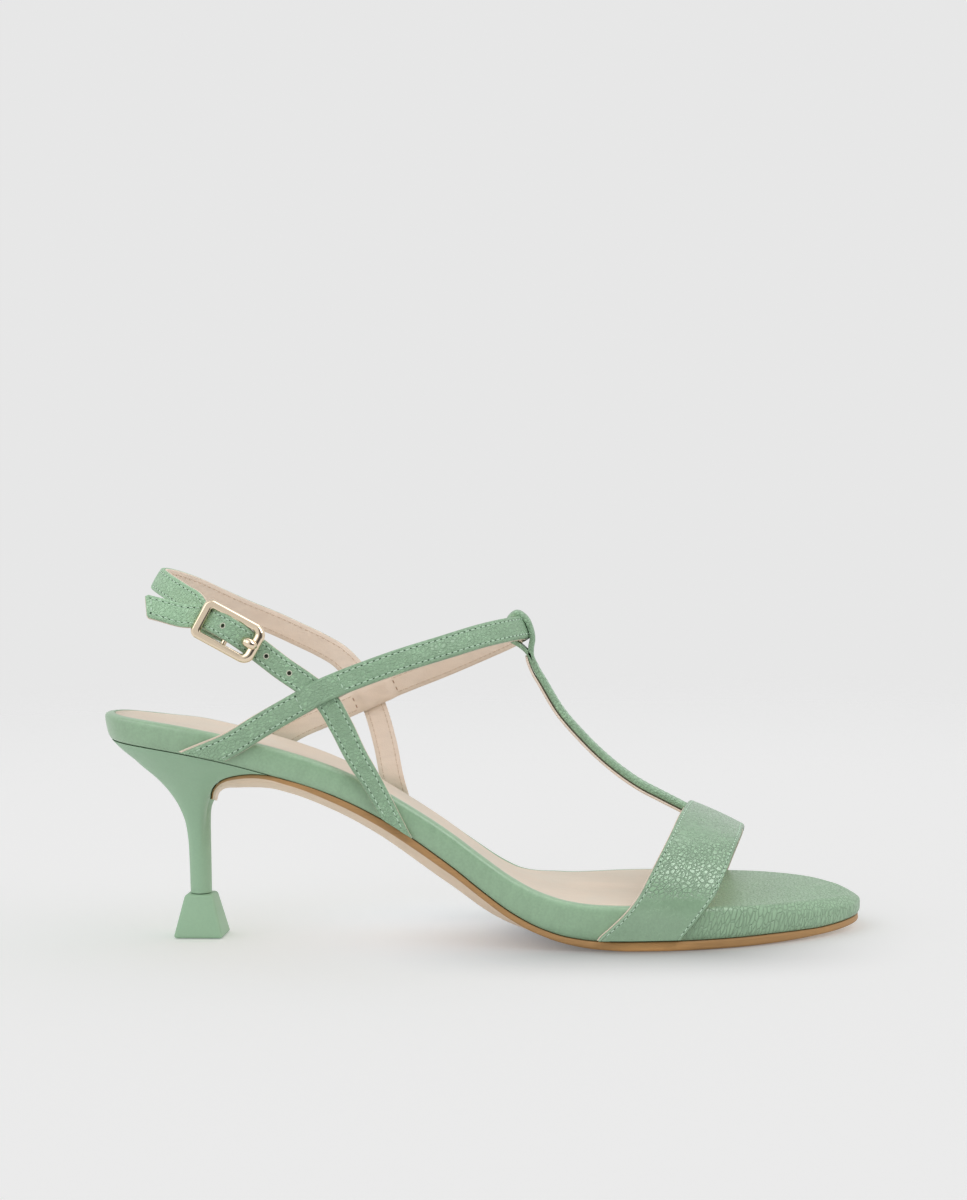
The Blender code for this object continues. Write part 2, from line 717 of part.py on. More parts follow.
def facing(turn, lean):
    """Unit vectors for headings and leans in degrees."""
    t = np.radians(turn)
    e = np.radians(lean)
    return np.stack([np.cos(e) * np.sin(t), -np.cos(e) * np.cos(t), np.sin(e)], -1)


def closed_tube(name, loops):
    """Closed body through sections of equal size, with a flat face at either end."""
    count, sides = loops.shape[:2]
    faces = wall_faces(count, sides)
    faces.append(tuple(range(sides)))
    faces.append(tuple((count - 1) * sides + k for k in range(sides)))
    return add_mesh(name, loops.reshape(-1, 3), faces)


def ribbon(name, centres, faces_out, widths, thickness):
    """Closed strap along the centres: flat section with eased edges, square to the strap's run."""
    run = np.gradient(centres, axis=0)
    run /= np.linalg.norm(run, axis=1)[:, None]
    out = faces_out - run * np.sum(faces_out * run, axis=1)[:, None]
    out /= np.linalg.norm(out, axis=1)[:, None]
    wide = np.cross(out, run)
    a = np.asarray(widths)[:, None] / 2
    b = thickness / 2
    c = STRAP_CHAMFER
    half = [(a - c, b), (a, b - c), (a, c - b), (a - c, -b)]
    edge = half + [(-w, t) for w, t in half[::-1]]
    return closed_tube(name, np.stack([centres + wide * w + out * t for w, t in edge], 1))


def strap(name, rows, width, thickness, step=STRAP_STEP):
    """Narrow strap through rows of place, turn and lean."""
    path = smooth_path(rows, step)
    return ribbon(name, path[:, :3], facing(path[:, 3], path[:, 4]), np.full(len(path), width), thickness)


def make_band():
    """Wide band over the toes between its two edge lines."""
    rows = TOE_BAND.rows
    middle = (rows[:, :3] + rows[:, 3:]) / 2
    path = smooth_path(np.column_stack([middle, rows]), STRAP_STEP)
    rear = path[:, 3:6]
    front = path[:, 6:9]
    run = np.gradient(path[:, :3], axis=0)
    across = front - rear
    out = np.cross(run, across)
    out *= np.sign(np.sum(out * (path[:, :3] - np.array(BAND_MIDDLE)), axis=1))[:, None]
    out /= np.linalg.norm(out, axis=1)[:, None]
    loops = []
    b = BAND_THICKNESS / 2
    c = STRAP_CHAMFER
    soft = c / np.linalg.norm(across, axis=1)[:, None]
    for share, t in ((0, b - c), (1, b), (2, b), (3, b - c), (3, c - b), (2, -b), (1, -b), (0, c - b)):
        place = (0.0, soft, 1 - soft, 1.0)[share]
        loops.append(rear + across * place + out * t)
    return closed_tube("upper", np.stack(loops, 1))


def buckle_frame_axes():
    """Directions of the buckle: along the strap towards the toe, across it upwards, outwards."""
    out = facing(BUCKLE_TURN, BUCKLE_LEAN)
    fall = math.radians(BUCKLE_FALL)
    reach = np.array([math.cos(fall), 0.0, -math.sin(fall)])
    reach -= out * np.dot(reach, out)
    reach /= np.linalg.norm(reach)
    return reach, np.cross(out, reach) * -1.0, out


def at_buckle(reach, rise, out):
    """Place in the shoe of a point given in the buckle's own directions."""
    along, across, outward = buckle_frame_axes()
    return np.array(BUCKLE_CENTRE) + along * reach + across * rise + outward * out


def buckle_matrix(out):
    """Frame of the buckle for Blender objects, lifted outwards, in metres."""
    along, across, outward = buckle_frame_axes()
    matrix = Matrix.Identity(4)
    for column, axis in enumerate((along, across, np.cross(along, across))):
        for row in range(3):
            matrix[row][column] = axis[row]
    matrix.translation = Vector(at_buckle(0.0, 0.0, out)) * MM
    return matrix


def billet_rows():
    """Outer ankle strap: up the leg, under the front rail, over the bar, under the back rail, free end."""
    weave = []
    for share, lift in WEAVE.rows:
        point = at_buckle(RAIL_OFFSET * share, 0.0, lift)
        weave.append((*point, BUCKLE_TURN, BUCKLE_LEAN))
    return strap_rows(OUTER_LEG) + weave + strap_rows(FREE_END)


def back_rows():
    """Inner ankle strap: up the inner leg, round the back of the ankle and in under the buckle's bar."""
    ends = []
    for reach, rise, lift in UNDER_BUCKLE.rows:
        ends.append((*at_buckle(reach, rise, lift), 360 + BUCKLE_TURN, BUCKLE_LEAN))
    return strap_rows(INNER_LEG) + ends


def strap_holes():
    """Punched holes of the ankle strap on either side of the one the prong goes through."""
    path = smooth_path(billet_rows(), FINE_STEP)
    run = np.concatenate([[0], np.cumsum(np.linalg.norm(np.diff(path[:, :3], axis=0), axis=1))])
    used = at_buckle(PRONG_HOLE, 0.0, 0.0)
    start = run[np.argmin(np.linalg.norm(path[:, :3] - used, axis=1))]
    holes = []
    for count in HOLES_FROM_PRONG:
        spot = [np.interp(start + count * HOLE_SPACING, run, path[:, k]) for k in range(5)]
        way = facing(spot[3], spot[4])
        holes.append(rod("strap_hole", HOLE_DIAMETER / 2, ANKLE_THICKNESS + HOLE_OVERRUN, spot[:3], way))
    return holes


def rod(name, radius, length, place, axis):
    """Round bar of a given length centred on a place, along an axis, from a cylinder primitive."""
    bpy.ops.mesh.primitive_cylinder_add(vertices=16, radius=radius * MM, depth=length * MM)
    obj = bpy.context.object
    obj.name = name
    turn = Vector((0, 0, 1)).rotation_difference(Vector(axis)).to_matrix().to_4x4()
    obj.data.transform(Matrix.Translation(Vector(place) * MM) @ turn)
    return obj


def prong_tube(name, radius):
    """The prong: a bent tube over the bar, through a hole of the strap and onto the front rail."""
    points = smooth_path(np.column_stack([PRONG.rows, np.zeros(len(PRONG.rows))]), PRONG_STEP)
    curve = bpy.data.curves.new(name, "CURVE")
    curve.dimensions = "3D"
    curve.bevel_depth = radius * MM
    curve.bevel_resolution = 2
    curve.use_fill_caps = True
    line = curve.splines.new("POLY")
    line.points.add(len(points) - 1)
    for spot, (reach, out, _) in zip(line.points, points):
        spot.co = (*(at_buckle(reach, 0.0, out) * MM), 1.0)
    return as_mesh(bpy.data.objects.new(name, curve))


def as_mesh(source):
    """Mesh object with the shape of a curve object, which it replaces."""
    bpy.context.scene.collection.objects.link(source)
    view = bpy.context.evaluated_depsgraph_get()
    mesh = bpy.data.meshes.new_from_object(source.evaluated_get(view))
    mesh.transform(source.matrix_world)
    work = bmesh.new()
    work.from_mesh(mesh)
    bmesh.ops.remove_doubles(work, verts=work.verts, dist=1e-6)
    bmesh.ops.recalc_face_normals(work, faces=work.faces)
    work.to_mesh(mesh)
    work.free()
    name = source.name
    bpy.data.objects.remove(source)
    obj = bpy.data.objects.new(name, mesh)
    bpy.context.scene.collection.objects.link(obj)
    return obj


def rounded_loop(curve, length, width, inset):
    """Closed rounded rectangle, fuller at the front, as a poly spline of a flat curve."""
    points = []
    front = BUCKLE_FRONT_CORNER - inset
    back = BUCKLE_BACK_CORNER - inset
    corners = ((0, 1, 1, front), (90, -1, 1, back), (180, -1, -1, back), (270, 1, -1, front))
    for turn, sx, sy, corner in corners:
        for step in range(CORNER_STEPS + 1):
            angle = math.radians(turn + 90 * step / CORNER_STEPS)
            x = sx * (length / 2 - corner) + corner * math.cos(angle)
            y = sy * (width / 2 - corner) + corner * math.sin(angle)
            points.append((x * MM, y * MM, 0.0, 1.0))
    line = curve.splines.new("POLY")
    line.points.add(len(points) - 1)
    for spot, place in zip(line.points, points):
        spot.co = place
    line.use_cyclic_u = True


def make_buckle():
    """Rounded frame with a middle bar that sits a little below it."""
    curve = bpy.data.curves.new("buckle_frame", "CURVE")
    curve.dimensions = "2D"
    curve.fill_mode = "BOTH"
    curve.extrude = (RAIL_THICKNESS / 2 - RAIL_BEVEL) * MM
    curve.bevel_depth = RAIL_BEVEL * MM
    curve.bevel_resolution = 1
    for inset in (RAIL_BEVEL, RAIL_WIDTH - RAIL_BEVEL):
        rounded_loop(curve, BUCKLE_LENGTH - 2 * inset, BUCKLE_WIDTH - 2 * inset, inset)
    frame = as_mesh(bpy.data.objects.new("buckle_frame", curve))
    frame.data.transform(buckle_matrix(0.0))
    across = buckle_frame_axes()[1]
    bar = rod("buckle_bar", BAR_RADIUS, BUCKLE_WIDTH - RAIL_WIDTH, at_buckle(0, 0, -BAR_DROP), across)
    cut(frame, bar, "UNION")
    return frame


def cut(target, tool, operation="DIFFERENCE"):
    """Exact boolean of a part with a tool, which goes to the cutters."""
    modifier = target.modifiers.new(tool.name, "BOOLEAN")
    modifier.operation = operation
    modifier.solver = "EXACT"
    modifier.object = tool
    tool.hide_render = True
    tool.display_type = "WIRE"
    CUTTERS.append(tool)


def seam_cutter():
    """Solid below the seam between board and outsole, wide enough to trim every strap end."""
    places = np.linspace(0, 1, SOLE_STATIONS)
    loop = sole_loop(-TRIM_REACH, places)
    level = sole_loop(0.0, places)
    high = joint_up(level[:, 0], level[:, 1]) + FIT_GAP
    rings = [np.column_stack([loop, high]), np.column_stack([loop, high - TRIM_DEPTH])]
    return plate("seam_cutter", rings, lambda s, y: 0.0, lambda s, y: 0.0)


def board_clearance():
    """The board grown by the fit gap, to trim what lies against it."""
    return plate("board_clearance", board_rings(FIT_GAP), lambda s, y: 0.0, lambda s, y: 0.0)


def make_upper():
    """All straps joined where they cross, trimmed at the board, with the holes of the ankle strap."""
    upper = make_band()
    pieces = [
        strap("t_bar", strap_rows(TBAR), TBAR_WIDTH, TBAR_THICKNESS, SHORT_STEP),
        strap("t_bar_loop", strap_rows(LOOP), TBAR_WIDTH, LOOP_THICKNESS, TIGHT_STEP),
        strap("instep_strap", strap_rows(INSTEP), INSTEP_WIDTH, INSTEP_THICKNESS),
        strap("ankle_billet", billet_rows(), ANKLE_WIDTH, ANKLE_THICKNESS, SHORT_STEP),
        strap("ankle_back", back_rows(), BACK_STRAP_WIDTH, ANKLE_THICKNESS),
        rod("bar_fold", KNUCKLE_RADIUS, BACK_STRAP_WIDTH, at_buckle(0, 0, -BAR_DROP), buckle_frame_axes()[1]),
    ]
    for piece in pieces:
        cut(upper, piece, "UNION")
    cut(upper, board_clearance())
    cut(upper, seam_cutter())
    across = buckle_frame_axes()[1]
    cut(upper, rod("bar_bore", BAR_RADIUS + FIT_GAP, 2 * BUCKLE_WIDTH, at_buckle(0, 0, -BAR_DROP), across))
    cut(upper, rod("prong_slot", KNUCKLE_RADIUS + FIT_GAP, PRONG_SLOT, at_buckle(0, 0, -BAR_DROP), across))
    cut(upper, prong_tube("prong_bore", PRONG_RADIUS + FIT_GAP))
    for hole in strap_holes():
        cut(upper, hole)
    return upper


def linear(byte):
    """Linear light value of a daylight colour value from 0 to 255."""
    value = byte / 255
    return value / 12.92 if value <= 0.04045 else ((value + 0.055) / 1.055) ** 2.4


def paint(obj, finish):
    """Give a part its own plain material."""
    colour, roughness, metallic = finish
    material = bpy.data.materials.new(obj.name)
    material.use_nodes = True
    shader = material.node_tree.nodes["Principled BSDF"]
    shader.inputs["Base Color"].default_value = (*[linear(c) for c in colour], 1.0)
    shader.inputs["Roughness"].default_value = roughness
    shader.inputs["Metallic"].default_value = metallic
    material.diffuse_color = (*[linear(c) for c in colour], 1.0)
    obj.data.materials.clear()
    obj.data.materials.append(material)


def collect(name, objects):
    """Move objects into a collection of their own."""
    group = bpy.data.collections.new(name)
    bpy.context.scene.collection.children.link(group)
    for obj in objects:
        for old in list(obj.users_collection):
            old.objects.unlink(obj)
        group.objects.link(obj)


def centre_on_floor(parts, others):
    """Move everything so the middle of the parts' box stands over the origin, soles on the floor."""
    view = bpy.context.evaluated_depsgraph_get()
    points = []
    for part in parts:
        shape = part.evaluated_get(view)
        points += [part.matrix_world @ v.co for v in shape.data.vertices]
    places = np.array([tuple(p) for p in points])
    low = places.min(0)
    high = places.max(0)
    centre = bpy.data.objects.new("shoe_centre", None)
    bpy.context.scene.collection.objects.link(centre)
    for obj in parts + others:
        obj.parent = centre
    centre.location = (-(low[0] + high[0]) / 2, -(low[1] + high[1]) / 2, -low[2])


for old_object in list(bpy.data.objects):
    bpy.data.objects.remove(old_object)

CUTTERS = []
PARTS = [
    (make_outsole(), SOLE_LEATHER),
    (make_board(), LEATHER),
    (sock_plate("sock_lining", 0.0, SOCK_THICKNESS, SOCK_PROUD), LINING),
    (make_heel(), HEEL_LEATHER),
    (make_top_piece(), HEEL_LEATHER),
    (make_upper(), LEATHER),
    (make_buckle(), PALE_GOLD),
    (prong_tube("buckle_prong", PRONG_RADIUS), PALE_GOLD),
]
for part_object, part_finish in PARTS:
    paint(part_object, part_finish)
part_objects = [part_object for part_object, part_finish in PARTS]
centre_on_floor(part_objects, CUTTERS)
collect("heeled_sandal", part_objects)
collect("cutters", CUTTERS)
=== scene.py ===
"""Looks of a right-foot T-bar sandal: smooth sole and heel, lined and stitched straps, a pale gold buckle.

Sizes are millimetres in the shoe's own directions: along from the back of the heel to the toe, across from
the outer side (minus) to the inner side (plus), up from the floor. Finished meshes are in metres in the
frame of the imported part.
"""

from __future__ import annotations

import json
import logging
import math
from contextlib import contextmanager
from dataclasses import dataclass, field
from enum import Enum
from typing import Any, Iterator, Sequence

import bpy
import numpy as np
from mathutils import Matrix, Vector

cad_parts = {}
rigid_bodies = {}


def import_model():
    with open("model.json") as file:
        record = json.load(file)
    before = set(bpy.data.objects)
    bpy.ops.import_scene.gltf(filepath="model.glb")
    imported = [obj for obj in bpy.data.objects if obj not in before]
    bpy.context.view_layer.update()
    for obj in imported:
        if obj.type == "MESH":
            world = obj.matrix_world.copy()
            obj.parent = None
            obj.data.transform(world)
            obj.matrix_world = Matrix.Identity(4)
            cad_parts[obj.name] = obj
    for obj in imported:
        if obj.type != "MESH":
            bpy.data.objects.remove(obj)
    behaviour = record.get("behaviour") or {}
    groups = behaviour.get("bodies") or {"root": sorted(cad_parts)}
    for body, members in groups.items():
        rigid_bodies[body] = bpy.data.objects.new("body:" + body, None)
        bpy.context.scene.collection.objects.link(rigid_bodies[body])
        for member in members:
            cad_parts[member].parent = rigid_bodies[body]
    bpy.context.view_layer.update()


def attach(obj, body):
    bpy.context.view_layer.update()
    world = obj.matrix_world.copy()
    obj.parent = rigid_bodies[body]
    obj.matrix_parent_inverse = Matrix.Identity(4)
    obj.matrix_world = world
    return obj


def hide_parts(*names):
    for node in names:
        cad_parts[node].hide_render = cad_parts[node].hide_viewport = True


LOG = logging.getLogger("sandal")
MM = 0.001
HEEL_ORIGIN = np.array([-115.298, 0.98, 0.0])
FIT_GAP = 0.3
WELD = 2e-6

Array = np.ndarray
Object = bpy.types.Object
Material = bpy.types.Material
Pair = tuple[float, float]
Triple = tuple[float, float, float]
Quad = tuple[float, float, float, float]
Colour = Triple
Spot = tuple[Array, Array]


class Side(Enum):
    """The two long sides of the shoe, with the sign of their place across."""

    OUTER = -1
    INNER = 1


class Slot(Enum):
    """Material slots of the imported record."""

    OUTSOLE = "outsole"
    BOARD = "insole_board"
    SOCK = "sock_lining"
    HEEL = "heel"
    FOOT = "heel_top_piece"
    UPPER = "upper"
    FRAME = "buckle_frame"
    PRONG = "buckle_prong"


def hermite(t: Array, length: Array | float, ends: Sequence[Array], slopes: Sequence[Array]) -> Array:
    """Smooth curve between two ends.

    Args:
        t: shares of the way.
        length: the way's length.
        ends: the values at both ends.
        slopes: the slopes there.

    Returns:
        The value at each share.
    """
    near = (1 + 2 * t) * (1 - t) ** 2 * ends[0] + t * (1 - t) ** 2 * length * slopes[0]
    far = t * t * (3 - 2 * t) * ends[1] + t * t * (t - 1) * length * slopes[1]
    return near + far


class Table:
    """Rows under named columns; a column can be read at any place along the first one."""

    def __init__(self, columns: str, rows: Sequence[Sequence[float]]) -> None:
        """Keep one row of numbers for each place, under column names parted by spaces."""
        self.columns = columns.split()
        self.rows = np.array(rows, float)

    def column(self, name: str) -> Array:
        """All values of one column."""
        return self.rows[:, self.columns.index(name)]

    def at(self, name: str, place: Array | float) -> Array:
        """Read a column on a smooth curve through the rows that never overshoots them.

        Args:
            name: the column.
            place: where to read it, in the unit of the first column.

        Returns:
            The value at each place.
        """
        x, y = self.rows[:, 0], self.column(name)
        h = np.diff(x)
        rise = np.diff(y) / h
        slope = np.zeros_like(y)
        even = rise[:-1] * rise[1:] > 0
        left = (2 * h[1:] + h[:-1])[even]
        right = (h[1:] + 2 * h[:-1])[even]
        slope[1:-1][even] = (left + right) / (left / rise[:-1][even] + right / rise[1:][even])
        slope[0], slope[-1] = rise[0], rise[-1]
        p = np.clip(place, x[0], x[-1])
        i = np.clip(np.searchsorted(x, p, side="right") - 1, 0, len(h) - 1)
        t = (p - x[i]) / h[i]
        return hermite(t, h[i], (y[i], y[i + 1]), (slope[i], slope[i + 1]))


HEEL_BACK = -0.8
TOE_TIP = 230.8

# Side profile: height of the joint line under the board, and of the wall over it.
PROFILE = Table("along joint wall", [
    (0, 61.2, 7.5), (12, 60.1, 7.5), (25, 58.3, 7.5), (40, 55.2, 7.4), (55, 51.3, 7.3),
    (70, 46.1, 7.3), (82, 40.2, 7.4), (94, 32.7, 7.6), (104, 25.5, 7.9), (113, 18.2, 8.3),
    (121, 12.2, 8.6), (129, 7.8, 8.9), (137, 5.0, 9.3), (146, 3.5, 9.7), (156, 3.0, 10.0),
    (185, 3.0, 9.2), (200, 3.2, 8.4), (218, 3.9, 7.0), (TOE_TIP, 4.8, 5.2),
])
# Plan of the board: its outer and its inner edge.
OUTLINE = Table("along lateral medial", [
    (HEEL_BACK, 1.5, 1.5), (3.4, -12.0, 14.4), (12, -19.6, 21.4), (25, -24.5, 25.0),
    (40, -26.0, 24.8), (60, -27.0, 21.5), (80, -27.5, 18.2), (100, -28.5, 17.4), (115, -31.0, 20.4),
    (130, -34.5, 25.6), (145, -37.5, 31.0), (160, -39.0, 35.0), (175, -38.0, 37.2),
    (190, -33.6, 37.0), (205, -26.0, 33.4), (217, -17.0, 27.4), (224.6, -9.0, 21.2),
    (229.4, -0.5, 14.4), (TOE_TIP, 7.5, 7.5),
])
# Back end of the outsole, which runs down the breast of the heel.
TONGUE = Table("along top lateral medial thick", [
    (32.2, 42.4, -6.0, 1.6, 1.6),
    (32.6, 44.2, -8.0, 3.8, 1.6),
    (33.6, 46.4, -11.0, 7.4, 1.8),
    (36.3, 49.1, -15.6, 12.8, 2.2),
    (40, 50.7, -19.2, 16.8, 2.6),
    (45, 51.8, -22.2, 19.6, 2.9),
    (50, 52.2, -24.4, 21.4, 3.0),
])
# How far the outsole's underside is rounded.
DOME = Table("along drop", [
    (32.2, 0.2), (36.3, 1.6), (41, 3.0), (50, 4.0), (64, 4.3), (85, 4.8), (100, 5.4), (113, 5.2),
    (121, 4.1), (129, 2.3), (137, 0.8), (146, 0.0), (TOE_TIP, 0.0),
])
# Section of the board's wall: inset at shares of its height.
BOARD_RIM = Table("share inset", [
    (0.0, 0.8), (0.03, 0.3), (0.10, 0.05), (0.42, -0.2), (0.68, -0.15), (0.86, 0.05), (0.945, 0.4),
    (0.988, 1.1), (1.0, 2.0), (1.0, 3.0),
])
# Spread that is left of the heel's seat at shares of the way down.
FLARE = Table("drop spread", [
    (0.0, 1.0), (0.05, 0.905), (0.09, 0.81), (0.13, 0.71), (0.18, 0.60), (0.22, 0.50), (0.27, 0.39),
    (0.34, 0.265), (0.44, 0.135), (0.56, 0.047), (0.70, 0.014), (1.0, 0.0),
])
# How far the visible seam lies under the joint line.
SEAM_DROP = Table("along drop", [
    (0, 0.3), (20, 0.4), (40, 0.6), (53, 0.9), (65, 0.9), (78, 1.1), (90, 1.1), (102, 1.5),
    (114, 1.5), (124, 1.3), (139, 0.9), (151, 0.4), (163, 0.1), (200, 0.1), (210, 0.4), (218, 0.8),
    (TOE_TIP, 0.8),
])
# How much lower the board's top edge is on the inner side.
FAR_RIM = Table("along drop", [
    (HEEL_BACK, 0.3), (17, 1.2), (29, 0.9), (60, 1.0), (90, 1.3), (114, 1.0), (124, 1.3),
    (138, -0.2), (170, -0.4), (190, -0.6), (205, -1.1), (218, -1.3), (226, -0.9), (TOE_TIP, -0.3),
])
# Extra thickness of the outsole's edge, and the share of its depth that is tan.
EDGE_DEPTH = Table("along extra tan", [
    (32.2, -0.2, 0.35), (40, -0.4, 0.38), (47, -0.5, 0.45), (53, -0.3, 0.6), (65, -0.1, 0.8),
    (78, 0.2, 0.95), (90, 0.5, 0.97), (102, 0.75, 0.98), (110, 0.4, 1.0), (125, 0.2, 1.0),
    (140, 0.0, 1.0), (TOE_TIP, 0.0, 1.0),
])
# Section of the outsole's edge: inset at shares of its thickness.
EDGE_LEVELS = Table("share inset", [
    (0.0, 0.4), (0.05, 0.12), (0.12, 0.0), (0.3, 0.0), (0.5, 0.0), (0.75, 0.0), (0.9, 0.14),
    (1.0, 0.5),
])
# Both edges of the toe band, from its outer end to its inner end.
TOE_BAND = Table("rear_along rear_across rear_up front_along front_across front_up", [
    (147.5, -39.6, 0.5, 171.5, -40.1, 0.0),
    (149.8, -40.0, 4.4, 174.0, -39.9, 4.2),
    (153.3, -40.5, 7.6, 176.6, -39.5, 7.4),
    (157.2, -40.8, 11.4, 179.4, -38.9, 10.7),
    (161.7, -40.2, 17.2, 183.9, -37.0, 16.4),
    (164.7, -38.5, 22.6, 187.0, -33.6, 22.0),
    (167.9, -34.8, 28.0, 189.4, -28.5, 26.3),
    (171.1, -28.5, 32.9, 191.6, -21.0, 29.4),
    (174.0, -18.0, 36.6, 193.2, -11.0, 30.2),
    (176.7, -4.0, 38.3, 194.5, 2.5, 30.3),
    (178.6, 10.0, 37.7, 195.7, 14.0, 29.2),
    (179.4, 21.5, 35.0, 196.3, 23.5, 26.6),
    (179.0, 30.0, 30.4, 195.6, 30.8, 22.8),
    (176.8, 35.5, 24.4, 194.0, 35.8, 17.6),
    (174.0, 38.2, 17.8, 192.2, 38.3, 12.4),
    (171.5, 38.8, 11.0, 190.4, 38.7, 8.0),
    (169.5, 38.6, 4.5, 188.6, 38.8, 4.0),
    (168.3, 38.5, 0.5, 187.4, 38.8, 0.0),
])

# Middle lines of the straps. Off starts at the board's edge on the side given, or at the middle for side 0.
# Turn and lean are the degrees in which the strap's face looks.
WALL_SEAT = 1.6
STRAP_COLUMNS = "along side off up turn lean"
INSTEP = Table(STRAP_COLUMNS, [
    (24.0, -1, WALL_SEAT, 53.2, -6, 0),
    (33.7, -1, WALL_SEAT, 58.4, -4, 0),
    (41.3, -1, WALL_SEAT, 62.2, -2, 2),
    (49.5, -1, 1.6, 67.3, 0, 6),
    (61.6, 0, -29.4, 74.2, 1, 9),
    (67.6, 0, -30.7, 77.6, 2, 10),
    (73.8, 0, -30.2, 80.2, 4, 12),
    (79.6, 0, -29.0, 82.3, 6, 13),
    (91.5, 0, -27.4, 86.3, 9, 15),
    (103.3, 0, -24.2, 89.6, 15, 17),
    (116.2, 0, -17.6, 92.9, 32, 18),
    (124.6, 0, -8.6, 94.0, 60, 20),
    (128.1, 0, 1.2, 93.6, 92, 21),
    (124.8, 0, 10.6, 90.9, 124, 20),
    (115.2, 0, 18.4, 86.1, 150, 18),
    (101.6, 0, 24.4, 80.0, 166, 17),
    (88.9, 0, 27.2, 74.9, 173, 14),
    (80.0, 0, 28.0, 71.2, 177, 12),
    (74.5, 0, 27.2, 68.7, 179, 11),
    (63.5, 0, 25.6, 64.2, 180, 8),
    (57.2, 1, 2.8, 61.6, 182, 5),
    (51.3, 1, WALL_SEAT, 58.2, 184, 2),
    (44.0, 1, WALL_SEAT, 54.0, 184, 0),
    (37.0, 1, WALL_SEAT, 50.0, 184, 0),
])
OUTER_LEG = Table(STRAP_COLUMNS, [
    (93.3, -1, WALL_SEAT, 29.5, 2, 0),
    (88.9, -1, WALL_SEAT, 38.0, 2, 0),
    (83.2, -1, WALL_SEAT, 49.0, 1, 2),
    (77.8, 0, -29.2, 58.3, 0, 4),
    (73.5, 0, -29.2, 67.3, 0, 6),
    (69.0, 0, -29.3, 74.9, -2, 8),
    (63.3, 0, -29.2, 79.5, -4, 9),
    (56.5, 0, -28.5, 84.2, -5, 10),
])
FREE_END = Table(STRAP_COLUMNS, [
    (26.6, 0, -25.4, 100.1, -8, 18),
    (21.0, 0, -25.8, 101.7, -12, 26),
    (16.0, 0, -26.4, 103.1, -14, 30),
])
INNER_LEG = Table(STRAP_COLUMNS, [
    (91.0, 1, WALL_SEAT, 30.0, 178, 0),
    (88.4, 1, WALL_SEAT, 38.0, 178, 0),
    (86.6, 1, WALL_SEAT, 44.5, 178, 2),
    (84.2, 1, 6.2, 55.3, 178, -20),
    (81.0, 0, 28.6, 66.0, 179, -4),
    (79.2, 0, 27.8, 71.2, 180, 10),
    (75.0, 0, 26.7, 77.8, 182, 10),
    (70.1, 0, 27.2, 83.0, 184, 9),
    (63.8, 0, 27.7, 86.8, 185, 9),
    (57.6, 0, 27.4, 89.9, 186, 10),
    (51.3, 0, 26.7, 93.0, 189, 12),
    (39.1, 0, 23.4, 98.6, 200, 18),
    (32.6, 0, 20.0, 102.0, 212, 22),
    (26.2, 0, 15.0, 105.6, 228, 26),
    (19.6, 0, 8.4, 108.6, 248, 30),
    (16.8, 0, 0.0, 109.6, 270, 31),
    (19.6, 0, -8.8, 108.4, 294, 29),
    (25.4, 0, -15.6, 105.4, 314, 25),
    (29.8, 0, -19.6, 102.9, 328, 20),
])
TBAR = Table(STRAP_COLUMNS, [
    (183.6, 0, 1.5, 34.0, 90, 68),
    (179.2, 0, 1.4, 36.2, 90, 67),
    (175.0, 0, 1.4, 38.4, 90, 66),
    (169.7, 0, 1.3, 41.2, 90, 64),
    (163.6, 0, 1.2, 44.5, 90, 60),
    (157.4, 0, 1.2, 48.8, 90, 54),
    (151.4, 0, 1.2, 53.9, 90, 49),
    (145.3, 0, 1.2, 60.1, 90, 42),
    (139.3, 0, 1.2, 67.2, 90, 35),
    (133.3, 0, 1.2, 77.3, 90, 24),
    (131.8, 0, 1.2, 79.8, 90, 22),
    (130.7, 0, 1.2, 82.2, 90, 16),
    (130.0, 0, 1.2, 84.6, 90, 4),
    (130.2, 0, 1.2, 87.0, 90, -2),
    (130.8, 0, 1.2, 89.8, 90, 4),
    (130.2, 0, 1.2, 93.4, 90, 18),
    (128.6, 0, 1.2, 96.5, 90, 42),
    (126.2, 0, 1.2, 97.9, 90, 88),
    (124.1, 0, 1.2, 96.4, 90, 140),
    (123.5, 0, 1.2, 93.2, 90, 178),
    (124.3, 0, 1.2, 89.9, 90, 206),
    (126.7, 0, 1.2, 88.1, 90, 222),
    (128.9, 0, 1.2, 86.1, 90, 219),
    (130.7, 0, 1.2, 83.3, 90, 212),
    (132.2, 0, 1.2, 80.2, 90, 204),
    (133.6, 0, 1.2, 77.4, 90, 202),
])
# Course of the buckle's prong with its half widths.
PRONG = Table("reach out wide thick", [
    (-1.6, -0.5, 0.7, 0.7),
    (-0.2, 0.42, 0.75, 0.7),
    (1.2, -0.2, 0.75, 0.7),
    (2.6, -1.05, 0.75, 0.7),
    (3.7, -1.25, 0.75, 0.7),
    (4.6, -0.7, 0.8, 0.7),
    (5.3, 0.35, 1.0, 0.85),
    (6.1, 1.4, 1.3, 1.05),
    (7.3, 2.2, 1.42, 1.1),
    (8.6, 2.25, 1.3, 1.0),
    (9.5, 1.75, 1.0, 0.8),
    (10.0, 1.3, 0.35, 0.3),
])


